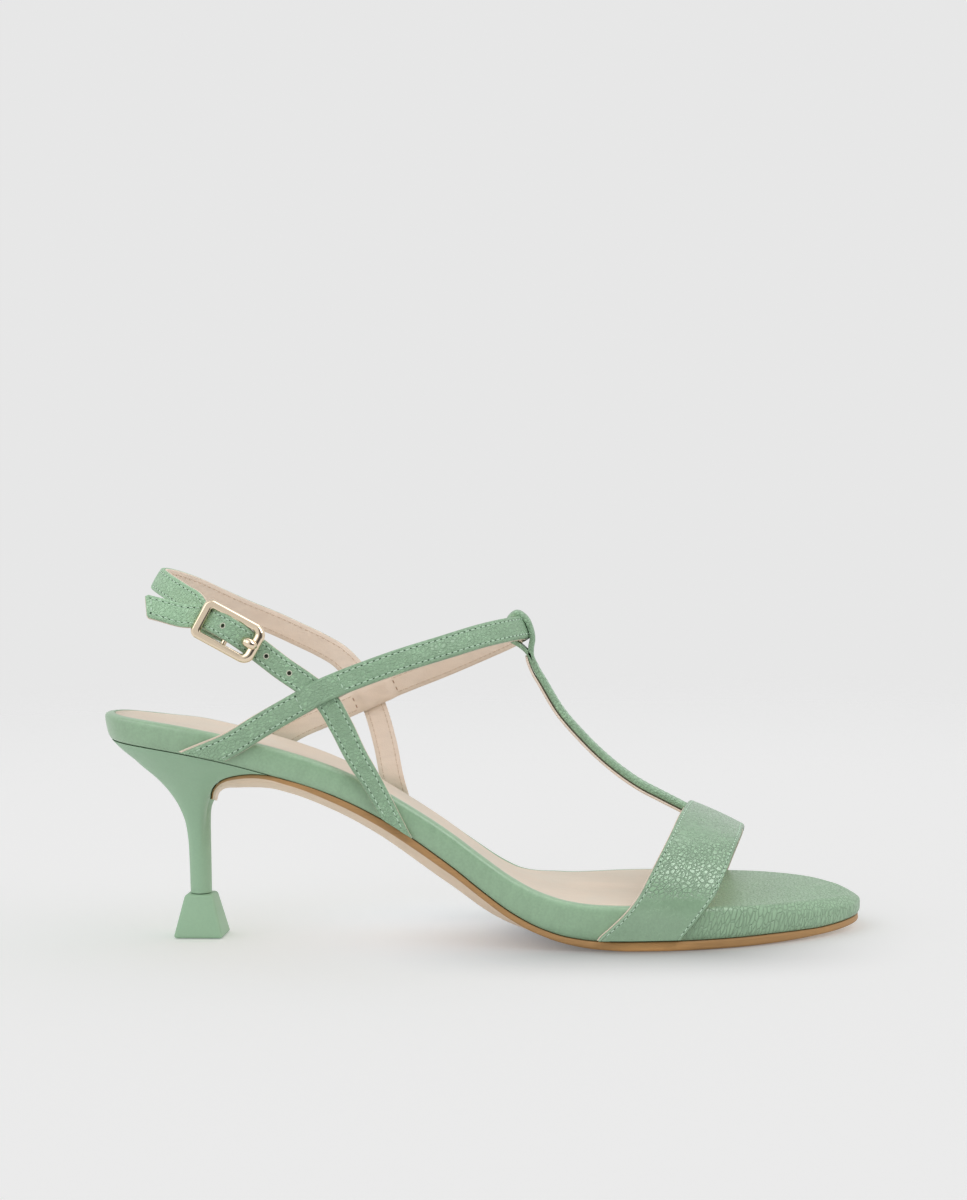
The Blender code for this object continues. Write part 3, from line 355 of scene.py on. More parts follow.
def smooth_path(rows: Array, step: float) -> Array:
    """Points about one step apart on a smooth curve through rows.

    Args:
        rows: the rows; their first three columns are places.
        step: distance between points.

    Returns:
        One row for each point, with all columns smoothed alike.
    """
    rows = np.asarray(rows, float)
    h = np.linalg.norm(np.diff(rows[:, :3], axis=0), axis=1)[:, None]
    rise = np.diff(rows, axis=0) / h
    slope = np.empty_like(rows)
    slope[1:-1] = (rise[:-1] * h[1:] + rise[1:] * h[:-1]) / (h[1:] + h[:-1])
    slope[0] = 2 * rise[0] - slope[1]
    slope[-1] = 2 * rise[-1] - slope[-2]
    pieces = []
    for i, length in enumerate(h[:, 0]):
        count = max(1, round(length / step))
        t = (np.arange(count) / count)[:, None]
        pieces.append(hermite(t, length, rows[i:i + 2], slope[i:i + 2]))
    pieces.append(rows[-1:])
    return np.concatenate(pieces)


def run_lengths(points: Array) -> Array:
    """Length along a line of points up to each of them."""
    return np.concatenate([[0.0], np.cumsum(np.linalg.norm(np.diff(points, axis=0), axis=1))])


def along_run(at: Array | float, run: Array, values: Array) -> Array:
    """Columns of values read at lengths along a run."""
    return np.stack([np.interp(at, run, column) for column in values.T], -1)


def unit(vectors: Array) -> Array:
    """Vectors brought to length one."""
    return vectors / np.linalg.norm(vectors, axis=-1, keepdims=True)


def ease(low: float, high: float, value: Array | float) -> Array:
    """Smooth step from 0 at low to 1 at high."""
    t = np.clip((np.asarray(value, float) - low) / (high - low), 0, 1)
    return t * t * (3 - 2 * t)


def facing(turn: Array | float, lean: Array | float) -> Array:
    """Unit vectors for headings and leans in degrees."""
    t, e = np.radians(turn), np.radians(lean)
    return np.stack([np.cos(e) * np.sin(t), -np.cos(e) * np.cos(t), np.sin(e)], -1)


def linear(colour: Colour) -> Colour:
    """Linear light values of a daylight colour given from 0 to 255."""
    values = [c / 255 for c in colour]
    return tuple(v / 12.92 if v <= 0.04045 else ((v + 0.055) / 1.055) ** 2.4 for v in values)


def shade(colour: Colour, factor: float) -> Colour:
    """A linear colour made lighter or darker."""
    return tuple(min(1.0, c * factor) for c in colour)


class SolePlan:
    """Plan and side profile that every piece of the shoe is measured from."""

    plan_step = 0.2
    bed_skew = 0.08
    heel_front = 54.0
    tongue_square = 40.0
    seam_fade = (45.0, 58.0)
    far_reach = 18.0
    slope_step = 0.05
    plane_reach = 4.0

    def __init__(self) -> None:
        """Work out the closed plan of the board as close points with outward normals."""
        along = OUTLINE.column("along")
        outer = np.stack([along, OUTLINE.column("lateral")], 1)
        inner = np.stack([along, OUTLINE.column("medial")], 1)[-2:0:-1]
        corners = np.concatenate([outer, inner])
        wrapped = np.concatenate([corners[-3:], corners, corners[:4]])
        path = smooth_path(np.column_stack([wrapped, np.zeros(len(wrapped))]), self.plan_step)[:, :2]
        third = len(path) // 3
        start = int(np.argmin(np.linalg.norm(path[:third] - corners[0], axis=1)))
        end = len(path) - 1 - int(np.argmin(np.linalg.norm(path[::-1][:third] - corners[0], axis=1)))
        self.points = path[start:end]
        way = unit(np.roll(self.points, -1, 0) - np.roll(self.points, 1, 0))
        self.normals = np.stack([way[:, 1], -way[:, 0]], 1)
        if np.sum(self.normals * (self.points - self.points.mean(0))) < 0:
            self.normals = -self.normals
        self.toe = int(np.argmax(self.points[:, 0]))
        tongue = np.stack([TONGUE.column("along"), TONGUE.column("top")], 1)
        joint = np.stack([PROFILE.column("along"), PROFILE.column("joint")], 1)
        self.under = Table("along top", np.concatenate([tongue, joint[joint[:, 0] > self.heel_front]]))

    def rail(self, side: Side, inset: Array | float, places: Array) -> Array:
        """One side of the plan moved inwards.

        Args:
            side: which side.
            inset: how far inwards.
            places: shares of the way from the heel's back to the toe's tip.

        Returns:
            Places along and across.
        """
        if side is Side.OUTER:
            pick = np.arange(0, self.toe + 1)
        else:
            pick = np.concatenate([[0], np.arange(len(self.points) - 1, self.toe - 1, -1)])
        points, normals = self.points[pick], self.normals[pick]
        run = run_lengths(points)
        return along_run(np.asarray(places) * run[-1], run, points - normals * inset)

    def share_at(self, side: Side, inset: float, along: float) -> float:
        """Share of the way at which a side of the plan reaches a place along."""
        places = np.linspace(0, 1, 400)
        rail = self.rail(side, inset, places)
        tip = int(np.argmax(rail[:, 0]))
        return float(np.interp(along, rail[:tip, 0], places[:tip]))

    def rim_across(self, side: Side, along: float) -> float:
        """Place across of the board's edge at a place along."""
        return float(self.rail(side, 0.0, np.array([self.share_at(side, 0.0, along)]))[0, 1])

    def joint(self, along: Array, across: Array) -> Array:
        """Height of the line that the board's wall is measured from."""
        return PROFILE.at("joint", along + self.bed_skew * across)

    def seam(self, along: Array, across: Array) -> Array:
        """Height of the visible seam under the board, where the outsole and the heel begin."""
        return self.joint(along, across) - SEAM_DROP.at("drop", along)

    def rim(self, along: Array, across: Array) -> Array:
        """Height of the board's top edge, a little lower on the inner side of the heel."""
        wall = PROFILE.at("wall", along + self.bed_skew * across)
        lower = FAR_RIM.at("drop", along) * np.clip(across / self.far_reach, 0, 1)
        return self.joint(along, across) + FIT_GAP + wall - lower

    def seam_drop(self, along: Array) -> Array:
        """How far the outsole's top face lies under the joint line, fading out at the breast line."""
        return SEAM_DROP.at("drop", along) * ease(*self.seam_fade, along)

    def outsole_top(self, along: Array, across: Array) -> Array:
        """Top face of the outsole: the joint line, and the tongue behind the breast line."""
        fade = np.clip((along - self.tongue_square) / (self.heel_front - self.tongue_square), 0, 1)
        level = self.under.at("top", along + self.bed_skew * across * fade)
        return level - self.seam_drop(along)

    def below_outsole(self, points: Array, depth: Array | float) -> Array:
        """Points of the outsole's top face moved down square to its side profile."""
        along, across = points[:, 0], points[:, 1]
        step = self.slope_step
        spot = np.maximum(along, TONGUE.column("along")[0] + step)
        slope = (self.outsole_top(spot + step, across) - self.outsole_top(spot - step, across)) / (2 * step)
        size = np.sqrt(1 + slope ** 2)
        up = self.outsole_top(along, across)
        return np.stack([along + depth * slope / size, across, up - depth / size], 1)

    def seam_plane(self, side: Side, along: float, above: float) -> Spot:
        """Plane along the seam under the board, to trim a strap's end.

        Args:
            side: the side on which the strap ends.
            along: where its middle meets the seam.
            above: how far over the seam the strap ends.

        Returns:
            A point of the plane and its upward normal.
        """
        across = self.rim_across(side, along)
        reach = self.plane_reach
        low, mid, high = self.seam(np.array([along - reach, along, along + reach]), across) + above
        return np.array([along, across, mid]), unit(np.array([(low - high) / (2 * reach), 0.0, 1.0]))


class Workshop:
    """Modelling steps shared by the pieces, each done with Blender's own operators."""

    @staticmethod
    def deselect() -> None:
        """Leave nothing selected."""
        for obj in bpy.context.view_layer.objects:
            obj.select_set(False)

    @classmethod
    def take(cls, obj: Object) -> None:
        """Make one object the only selected and active one."""
        cls.deselect()
        obj.select_set(True)
        bpy.context.view_layer.objects.active = obj

    @classmethod
    @contextmanager
    def editing(cls, obj: Object, everything: bool = True) -> Iterator[None]:
        """Edit mode on one object.

        Args:
            obj: the object.
            everything: whether all of its mesh starts selected.
        """
        cls.take(obj)
        bpy.ops.object.mode_set(mode="EDIT")
        bpy.ops.mesh.select_mode(type="VERT")
        bpy.ops.mesh.select_all(action="SELECT" if everything else "DESELECT")
        yield
        bpy.ops.object.mode_set(mode="OBJECT")

    @staticmethod
    def place(points: Array) -> Array:
        """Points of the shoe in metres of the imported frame."""
        return (np.asarray(points, float) + HEEL_ORIGIN) * MM

    @classmethod
    def grid(cls, name: str, places: Array, weld: bool = True) -> Object:
        """A grid primitive laid over a surface of given points.

        Args:
            name: the object's name.
            places: rows and columns of points; a closed section repeats its first column at the end.
            weld: whether meeting edges are merged and open ends filled, to make a closed body.

        Returns:
            The object. Its UV map holds the lengths along rows and columns in metres.
        """
        rows, columns = places.shape[:2]
        cls.deselect()
        bpy.ops.mesh.primitive_grid_add(x_subdivisions=columns - 1, y_subdivisions=rows - 1, size=2)
        obj = bpy.context.object
        obj.name = obj.data.name = name
        mesh = obj.data
        flat = np.empty(len(mesh.vertices) * 3)
        mesh.vertices.foreach_get("co", flat)
        flat = flat.reshape(-1, 3)
        column = np.rint((flat[:, 0] + 1) / 2 * (columns - 1)).astype(int)
        row = np.rint((flat[:, 1] + 1) / 2 * (rows - 1)).astype(int)
        mesh.vertices.foreach_set("co", cls.place(places[row, column]).ravel())
        along = run_lengths(places.mean(1)) * MM
        around = np.stack([run_lengths(line) for line in places]) * MM
        corner = np.empty(len(mesh.loops), int)
        mesh.loops.foreach_get("vertex_index", corner)
        spots = np.stack([along[row[corner]], around[row[corner], column[corner]]], 1)
        mesh.uv_layers[0].data.foreach_set("uv", spots.ravel())
        mesh.update()
        if weld:
            cls.close(obj)
        return obj

    @classmethod
    def close(cls, obj: Object) -> None:
        """Merge meeting edges, fill open ends and turn all faces outwards."""
        with cls.editing(obj):
            bpy.ops.mesh.remove_doubles(threshold=WELD)
            bpy.ops.mesh.fill_holes(sides=0)
            bpy.ops.mesh.select_all(action="SELECT")
            bpy.ops.mesh.normals_make_consistent(inside=False)

    @staticmethod
    def upright(direction: Array) -> Matrix:
        """Turn that brings the upward axis to a direction."""
        return Vector((0, 0, 1)).rotation_difference(Vector(direction)).to_matrix().to_4x4()

    @classmethod
    def trim(cls, obj: Object, point: Array, normal: Array) -> None:
        """Cut off what lies below a plane and close the cut."""
        with cls.editing(obj):
            bpy.ops.mesh.bisect(
                plane_co=cls.place(point).tolist(),
                plane_no=normal.tolist(),
                use_fill=True,
                clear_inner=True,
            )

    @classmethod
    def combine(cls, obj: Object, tool: Object, operation: str = "DIFFERENCE") -> None:
        """Exact boolean of an object with a tool, which is removed."""
        cls.take(obj)
        modifier = obj.modifiers.new("shape", "BOOLEAN")
        modifier.operation, modifier.solver, modifier.object = operation, "EXACT", tool
        bpy.ops.object.modifier_apply(modifier=modifier.name)
        bpy.data.objects.remove(tool)

    @classmethod
    def smooth(cls, obj: Object, angle: float) -> None:
        """Smooth shading with sharp edges over an angle in degrees."""
        cls.take(obj)
        bpy.ops.object.shade_smooth_by_angle(angle=math.radians(angle))

    @classmethod
    def settle(cls, obj: Object) -> None:
        """Put the object's place into its mesh."""
        cls.take(obj)
        bpy.ops.object.transform_apply(location=True, rotation=True, scale=True)

    @classmethod
    def copies(cls, name: str, model: Object, spots: Array) -> Object:
        """One mesh of many copies of a small model.

        Args:
            name: the new object's name.
            model: the model, in millimetres round its own origin; it is removed.
            spots: a 4 x 4 matrix for each copy, in the shoe's millimetres.

        Returns:
            The object that holds all the copies, its points and faces in an order that is always the same.
        """
        shape = np.array([tuple(v.co) + (1.0,) for v in model.data.vertices])
        order = np.lexsort(np.round(shape, 6).T)
        rank = np.argsort(order).tolist()
        shape = shape[order]
        faces = []
        for polygon in model.data.polygons:
            face = [rank[corner] for corner in polygon.vertices]
            first = face.index(min(face))
            faces.append(face[first:] + face[:first])
        faces.sort()
        places = np.einsum("nij,vj->nvi", spots, shape)[:, :, :3]
        size = len(shape)
        corners = [tuple(k * size + c for c in f) for k in range(len(spots)) for f in faces]
        made = bpy.data.meshes.new(name)
        made.from_pydata(cls.place(places.reshape(-1, 3)).tolist(), [], corners)
        made.polygons.foreach_set("use_smooth", np.ones(len(made.polygons), bool))
        bpy.data.objects.remove(model)
        obj = bpy.data.objects.new(name, made)
        bpy.context.scene.collection.objects.link(obj)
        return obj


class Signal:
    """A number on its way through a material: wraps a socket, and sums with it add Math nodes."""

    def __init__(self, graph: "Nodes", socket: bpy.types.NodeSocket) -> None:
        """Wrap a node's output."""
        self.graph, self.socket = graph, socket

    def _sum(self, operation: str, other: "Signal | float", swapped: bool = False) -> "Signal":
        """A Math node on this value and another."""
        pair = (other, self) if swapped else (self, other)
        return self.graph.node("ShaderNodeMath", {"operation": operation}, {0: pair[0], 1: pair[1]})

    def __add__(self, other: "Signal | float") -> "Signal":
        """Sum."""
        return self._sum("ADD", other)

    __radd__ = __add__

    def __sub__(self, other: "Signal | float") -> "Signal":
        """Difference."""
        return self._sum("SUBTRACT", other)

    def __rsub__(self, other: float) -> "Signal":
        """Difference from a number."""
        return self._sum("SUBTRACT", other, True)

    def __mul__(self, other: "Signal | float") -> "Signal":
        """Product."""
        return self._sum("MULTIPLY", other)

    __rmul__ = __mul__

    def __pow__(self, other: float) -> "Signal":
        """Power."""
        return self._sum("POWER", other)

    def ease(self, low: float, high: float) -> "Signal":
        """Smooth step from 0 at low to 1 at high."""
        inputs = {"Value": self, "From Min": low, "From Max": high}
        return self.graph.node("ShaderNodeMapRange", {"interpolation_type": "SMOOTHSTEP"}, inputs)

    def within(self, run: Quad) -> "Signal":
        """Rise from 0 to 1 between the first two values of a run, and fall back between the last two."""
        return self.ease(*run[:2]) * (1 - self.ease(*run[2:]))


class Nodes:
    """A node tree under construction."""

    def __init__(self, tree: bpy.types.NodeTree) -> None:
        """Take over a tree."""
        self.tree = tree

    def node(self, kind: str, settings: dict[str, Any], inputs: dict[Any, Any], output: Any = 0) -> Signal:
        """Add a node.

        Args:
            kind: the node's type.
            settings: its own settings, set first.
            inputs: values or signals of its sockets, by name or number.
            output: the output to hand on.

        Returns:
            That output as a signal.
        """
        made = self.tree.nodes.new(kind)
        for key, value in settings.items():
            setattr(made, key, value)
        for key, value in inputs.items():
            self.feed(made.inputs[key], value)
        return Signal(self, made.outputs[output])

    def feed(self, socket: bpy.types.NodeSocket, value: Any) -> None:
        """Link a signal to a socket, or set the socket to a value."""
        if isinstance(value, Signal):
            self.tree.links.new(value.socket, socket)
        else:
            socket.default_value = value

    def component(self, vector: Signal, axis: str) -> Signal:
        """One component of a vector."""
        return self.node("ShaderNodeSeparateXYZ", {}, {"Vector": vector}, axis)

    def vector(self, operation: str, *vectors: Signal | Triple) -> Signal:
        """A Vector Math node; a length or a dot product comes out of it as a number."""
        output = "Value" if operation in ("LENGTH", "DOT_PRODUCT") else 0
        return self.node("ShaderNodeVectorMath", {"operation": operation}, dict(enumerate(vectors)), output)


class Graph(Nodes):
    """A material under construction: one Principled shader and the nodes that feed it."""

    def __init__(self, name: str, **constants: Any) -> None:
        """Start a material.

        Args:
            name: the material's name.
            constants: values of the shader's own sockets, with _ for a space in their names.
        """
        self.material = bpy.data.materials.new(name)
        self.material.use_nodes = True
        super().__init__(self.material.node_tree)
        self.shader = self.tree.nodes["Principled BSDF"]
        for key, value in constants.items():
            self.shader.inputs[key.replace("_", " ")].default_value = value

    def drive(self, name: str, value: Signal) -> None:
        """Feed one socket of the shader."""
        self.feed(self.shader.inputs[name], value)

    def coords(self, stretch: Triple = (1.0, 1.0, 1.0), tilt: float = 0.0) -> Signal:
        """Object coordinates in metres, turned by degrees about the across axis and stretched per axis."""
        place = self.node("ShaderNodeTexCoord", {}, {}, "Object")
        turn = (0.0, math.radians(tilt), 0.0)
        turned = self.node("ShaderNodeMapping", {}, {"Vector": place, "Rotation": turn})
        return self.node("ShaderNodeMapping", {}, {"Vector": turned, "Scale": stretch})

    def axis(self, name: str) -> Signal:
        """One object coordinate in metres."""
        return self.component(self.coords(), name)

    def noise(self, place: Signal, size: float, detail: float = 3.0) -> Signal:
        """Cloudy pattern of a size in millimetres, from 0 to 1."""
        inputs = {"Vector": place, "Scale": 1 / (size * MM), "Detail": detail, "Roughness": 0.55}
        return self.node("ShaderNodeTexNoise", {}, inputs)

    def cells(self, place: Signal, size: float, random: float = 1.0) -> Signal:
        """Distance to the borders of cells of a size in millimetres."""
        inputs = {"Vector": place, "Scale": 1 / (size * MM), "Randomness": random}
        return self.node("ShaderNodeTexVoronoi", {"feature": "DISTANCE_TO_EDGE"}, inputs)

    def warped(self, place: Signal, size: float, reach: float) -> Signal:
        """Coordinates pushed about by a soft noise, sizes in millimetres."""
        push = self.node("ShaderNodeTexNoise", {}, {"Vector": place, "Scale": 1 / (size * MM)}, "Color")
        centred = self.vector("SUBTRACT", push, (0.5, 0.5, 0.5))
        scaled = self.node("ShaderNodeVectorMath", {"operation": "SCALE"}, {0: centred, "Scale": reach * MM})
        return self.vector("ADD", place, scaled)

    def blend(self, factor: Signal, low: Colour | Signal, high: Colour | Signal) -> Signal:
        """Mix of two linear colours."""
        pair = [c if isinstance(c, Signal) else (*c, 1.0) for c in (low, high)]
        inputs = {0: factor, 6: pair[0], 7: pair[1]}
        return self.node("ShaderNodeMix", {"data_type": "RGBA"}, inputs, 2)

    def tones(self, factor: Signal, base: Colour, low: float, high: float) -> Signal:
        """Mix of a darker and a lighter tone of a linear colour."""
        return self.blend(factor, shade(base, low), shade(base, high))

    def bump(self, height: Signal, depth: float) -> None:
        """Relief of the surface, its depth in millimetres for a height of one."""
        inputs = {"Height": height, "Distance": depth * MM, "Strength": 1.0}
        self.drive("Normal", self.node("ShaderNodeBump", {}, inputs))


@dataclass(frozen=True)
class GrainedLeather:
    """Glossy pebbled leather: flat-topped cells parted by valleys, long creases, rubbed wrinkles and pores.

    The pebbles are strong between the heights of the zone or in front of a place along, and faint elsewhere.
    Painted shade darkens the valleys and a painted highlight lightens the pebble tops; the pale marks along
    the wrinkles are partly scuffs and partly painted highlights. Behind a place along and over a height the
    leather is painted paler, a painted light. All these places are metres of the frame.
    """

    colour: Colour
    cell: float = 1.3
    depth: float = 0.05
    roughness: float = 0.34
    gloss: float = 0.6
    painted_valley_shade: float = 0.94
    crease: float = 0.3
    tilt: float = 40.0
    stretch: Triple = (0.7, 1.0, 1.1)
    faint: float = 1.0
    zone: Quad | None = None
    toe_only: Pair | None = None
    wrinkle: float = 0.3
    scuff_and_highlight: float = 0.0
    painted_highlight: float = 0.0
    random: float = 1.0
    painted_light_zone: Quad | None = None
    painted_light_tone: float = 1.42
    painted_light_share: float = 0.8
    scuff_and_highlight_tone: float = 1.55
    painted_highlight_tone: float = 1.6

    def strength(self, graph: Graph) -> Signal | float:
        """How strong the pebbles are at each place."""
        if self.zone:
            inside = graph.axis("Z").within(self.zone)
        elif self.toe_only:
            inside = graph.axis("X").ease(*self.toe_only)
        else:
            return 1.0
        return self.faint + (1 - self.faint) * inside

    def material(self, name: str) -> Material:
        """Make the material."""
        graph = Graph(name, Specular_IOR_Level=self.gloss)
        place = graph.coords(self.stretch, self.tilt)
        edge = graph.cells(graph.warped(place, 3.0, 0.4), self.cell, self.random)
        pebble = edge.ease(0.0, 0.13)
        pores = graph.cells(place, 0.45).ease(0.0, 0.4)
        drawn = graph.warped(graph.coords((0.12, 1.0, 1.2), self.tilt), 6.0, 1.0)
        creases = graph.cells(drawn, self.cell * 1.6).ease(0.0, 0.06)
        pebble = pebble * (1 - self.crease + self.crease * creases)
        strength = self.strength(graph)
        wavy = graph.noise(graph.warped(graph.coords((0.45, 1.0, 1.2), 12.0), 5.0, 2.0), 1.6, 3.0)
        wrinkles = (((wavy - 0.5) ** 2) ** 0.5).ease(0.0, 0.07)
        if self.zone:
            wrinkles = wrinkles * graph.axis("Z").ease(self.zone[1], self.zone[3])
        height = pebble * strength + 0.08 * pores + self.wrinkle * wrinkles
        base = linear(self.colour)
        slow = graph.noise(place, 14.0, 4.0).ease(0.25, 0.75)
        mottle = graph.noise(place, 2.2, 4.0).ease(0.25, 0.75)
        fine = graph.noise(graph.coords(), 0.8, 3.0).ease(0.3, 0.7)
        tone = graph.tones(slow * 0.3 + mottle * 0.3 + fine * 0.4, base, 0.87, 1.13)
        # Pale marks along the wrinkles: partly scuffs, partly painted highlights.
        scuffs_and_highlights = self.scuff_and_highlight * (1 - wrinkles) * graph.noise(graph.coords(), 5.0, 2.0).ease(0.47, 0.6)
        tone = graph.blend(scuffs_and_highlights, tone, shade(base, self.scuff_and_highlight_tone))
        # Painted shade in the pebble valleys.
        painted_valley_shade = shade(base, self.painted_valley_shade)
        # Painted light: the leather is painted paler behind a place along and over a height.
        if self.painted_light_zone:
            behind, over = 1 - graph.axis("X").ease(*self.painted_light_zone[:2]), graph.axis("Z").ease(*self.painted_light_zone[2:])
            pale = self.painted_light_share * behind * over
            tone = graph.blend(pale, tone, shade(base, self.painted_light_tone))
            painted_valley_shade = graph.blend(pale, painted_valley_shade, shade(base, self.painted_light_tone * self.painted_valley_shade))
        ridge = 1 - (1 - pebble) * strength
        # Painted highlight on the pebble tops.
        painted_highlight = self.painted_highlight * strength * edge.ease(0.03, 0.3)
        painted_highlight_tops = graph.blend(painted_highlight, tone, shade(base, self.painted_highlight_tone))
        graph.drive("Base Color", graph.blend(ridge, painted_valley_shade, painted_highlight_tops))
        graph.drive("Roughness", self.roughness + 0.22 * (1 - ridge) + 0.08 * mottle)
        graph.bump(height, self.depth)
        return graph.material


@dataclass(frozen=True)
class SmoothLeather:
    """Fine wrapped leather: near smooth, faint pores and slow changes of tone."""

    colour: Colour
    roughness: float = 0.4
    pore: float = 0.45
    depth: float = 0.02
    tone: float = 0.035

    def material(self, name: str) -> Material:
        """Make the material."""
        graph = Graph(name, Specular_IOR_Level=0.55)
        place = graph.coords()
        pores = graph.cells(graph.warped(place, 1.5, 0.4), self.pore).ease(0.0, 0.4)
        slow = graph.noise(place, 18.0, 3.0).ease(0.25, 0.75)
        base = linear(self.colour)
        fine = graph.noise(place, 0.8, 3.0).ease(0.3, 0.7)
        grain = slow * 0.5 + fine * 0.5
        graph.drive("Base Color", graph.tones(grain, base, 1 - self.tone, 1 + self.tone))
        graph.drive("Roughness", self.roughness + 0.08 * graph.noise(place, 5.0) + 0.04 * (1 - pores))
        graph.bump(pores + 0.8 * graph.noise(place, 1.2), self.depth)
        return graph.material


@dataclass(frozen=True)
class LiningLeather:
    """Undyed lining leather: matt, with fine pores and faint streaks."""

    colour: Colour
    roughness: float = 0.62
    depth: float = 0.035
    streak: float = 0.05
    cloud: Colour = (232, 206, 184)

    def material(self, name: str) -> Material:
        """Make the material."""
        graph = Graph(name, Specular_IOR_Level=0.35, Sheen_Weight=0.08)
        place = graph.coords()
        pores = graph.cells(graph.warped(place, 1.2, 0.4), 0.5).ease(0.0, 0.4)
        drawn = graph.noise(graph.coords((0.35, 1.0, 1.0)), 2.4, 4.0).ease(0.25, 0.75)
        cloud = graph.noise(place, 16.0, 3.0).ease(0.2, 0.8)
        base = linear(self.colour)
        streaks = graph.tones(drawn, base, 1 - self.streak, 1 + self.streak)
        graph.drive("Base Color", graph.blend(cloud * 0.35, streaks, linear(self.cloud)))
        graph.drive("Roughness", self.roughness + 0.08 * (1 - pores))
        graph.bump(pores + 0.6 * graph.noise(place, 0.8), self.depth)
        return graph.material


@dataclass(frozen=True)
class SoleLeather:
    """Outsole leather: a tan edge painted lighter along the ball where the band shades it, and a pale smooth
    underside.
    """

    edge: Colour
    underside: Colour
    far_side: Triple = (0.98, 0.92, 0.84)
    painted_light_run: Quad = (0.028, 0.046, 0.05, 0.066)

    def material(self, name: str) -> Material:
        """Make the material, which reads the share of the edge's depth from the UV map."""
        graph = Graph(name, Specular_IOR_Level=0.45)
        place = graph.coords()
        mark = graph.node("ShaderNodeUVMap", {"uv_map": "edge"}, {})
        depth = graph.component(mark, "Y")
        layers = graph.noise(graph.coords((0.12, 0.12, 1.6)), 0.9, 4.0).ease(0.3, 0.7)
        cloud = graph.noise(place, 12.0, 3.0).ease(0.25, 0.75)
        tan, pale = linear(self.edge), linear(self.underside)
        grain = layers * 0.6 + cloud * 0.4
        # Painted light: the edge is painted lighter along the ball, where the toe band shades it.
        ball_painted_light = graph.axis("X").within(self.painted_light_run)
        edge_with_painted_light = graph.blend(ball_painted_light, graph.tones(grain, tan, 0.9, 1.1), graph.tones(grain, tan, 1.85, 2.15))
        rim = graph.blend(depth.ease(0.0, 0.16), shade(tan, 0.62), edge_with_painted_light)
        near = graph.tones(cloud, pale, 0.88, 0.96)
        sole = graph.blend(graph.axis("Y").ease(-0.022, 0.022), near, self.far_side)
        bottom = depth.ease(0.96, 1.12)
        graph.drive("Base Color", graph.blend(bottom, rim, sole))
        graph.drive("Roughness", 0.44 + 0.12 * layers + 0.12 * bottom)
        graph.bump(layers + graph.noise(place, 0.7), 0.03)
        return graph.material


@dataclass(frozen=True)
class PolishedMetal:
    """Plated metal with a soft polish and faint hairlines."""

    colour: Colour
    roughness: float = 0.1

    def material(self, name: str) -> Material:
        """Make the material."""
        graph = Graph(name, Metallic=1.0)
        place = graph.coords()
        hair = graph.noise(graph.coords((1.0, 1.0, 6.0)), 1.2, 4.0)
        base = linear(self.colour)
        graph.drive("Base Color", graph.tones(graph.noise(place, 4.0), base, 0.96, 1.03))
        graph.drive("Roughness", self.roughness + 0.06 * hair)
        return graph.material


@dataclass(frozen=True)
class SewingThread:
    """Twisted thread."""

    colour: Colour
    roughness: float = 0.55

    def material(self, name: str) -> Material:
        """Make the material."""
        graph = Graph(name, Specular_IOR_Level=0.4, Sheen_Weight=0.2)
        twist = graph.noise(graph.coords(), 0.25, 2.0)
        base = linear(self.colour)
        graph.drive("Base Color", graph.tones(twist, base, 0.88, 1.08))
        graph.drive("Roughness", self.roughness + 0.1 * twist)
        return graph.material


# Painted shade in the grain valleys, painted highlights on pebble tops and wrinkles; the strap is painted
# paler near the buckle.
STRAP_GREEN = GrainedLeather((142, 176, 143), cell=1.1, depth=0.12, roughness=0.3, gloss=0.8, wrinkle=0.9,
                             scuff_and_highlight=0.7, painted_light_zone=(-0.084, -0.077, 0.076, 0.085))
BAND_GREEN = GrainedLeather((138, 170, 139), cell=1.25, depth=0.15, roughness=0.2, gloss=1.0, painted_valley_shade=0.83,
                            crease=0.7, faint=0.03, zone=(0.0145, 0.0185, 0.0285, 0.0335), wrinkle=1.0,
                            painted_highlight=0.42, random=0.85)
BOARD_GREEN = GrainedLeather((144, 177, 144), cell=1.15, depth=0.18, roughness=0.28, gloss=0.85, painted_valley_shade=0.92,
                             crease=0.0, tilt=-20.0, stretch=(1.0, 1.0, 0.32), faint=0.04,
                             toe_only=(0.05, 0.075), wrinkle=0.06, painted_highlight=0.12)
HEEL_GREEN = SmoothLeather((152, 186, 155))
LINING = LiningLeather((231, 215, 200))
SOCK = LiningLeather((214, 203, 187), roughness=0.56, depth=0.02, streak=0.02)
OUTSOLE = SoleLeather((175, 134, 86), (236, 213, 187))
GOLD = PolishedMetal((242, 223, 196))
GREEN_THREAD = SewingThread((194, 220, 198))
BEIGE_THREAD = SewingThread((206, 184, 162))
BROWN_THREAD = SewingThread((160, 126, 98))
# Dark discs in the needle holes, on the leather and on the lining, are painted shade.
NEEDLE_HOLE_SHADE = SewingThread((48, 72, 54), 0.8)
# Painted shade disc inside the punched holes, and a painted highlight ring on their rims.
HOLE_PAINTED_SHADE = SewingThread((96, 98, 86), 0.8)
HOLE_RIM_PAINTED_HIGHLIGHT = SewingThread((206, 208, 188), 0.5)
LINING_HOLE_SHADE = SewingThread((194, 172, 150), 0.8)
# A dark layer inside the T-bar, between leather and lining, is painted shade in their gap.
TBAR_GAP_SHADE = SewingThread((92, 88, 70), 0.8)


def dress(obj: Object, material: Material, node: str | None = None, angle: float = 0.0) -> None:
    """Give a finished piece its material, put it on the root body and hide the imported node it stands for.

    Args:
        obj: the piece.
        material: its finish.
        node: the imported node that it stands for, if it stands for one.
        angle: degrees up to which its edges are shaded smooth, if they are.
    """
    if angle:
        Workshop.smooth(obj, angle)
    obj.data.materials.clear()
    obj.data.materials.append(material)
    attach(obj, "root")
    if node:
        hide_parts(node)
    LOG.info("%s: %d faces", obj.name, len(obj.data.polygons))


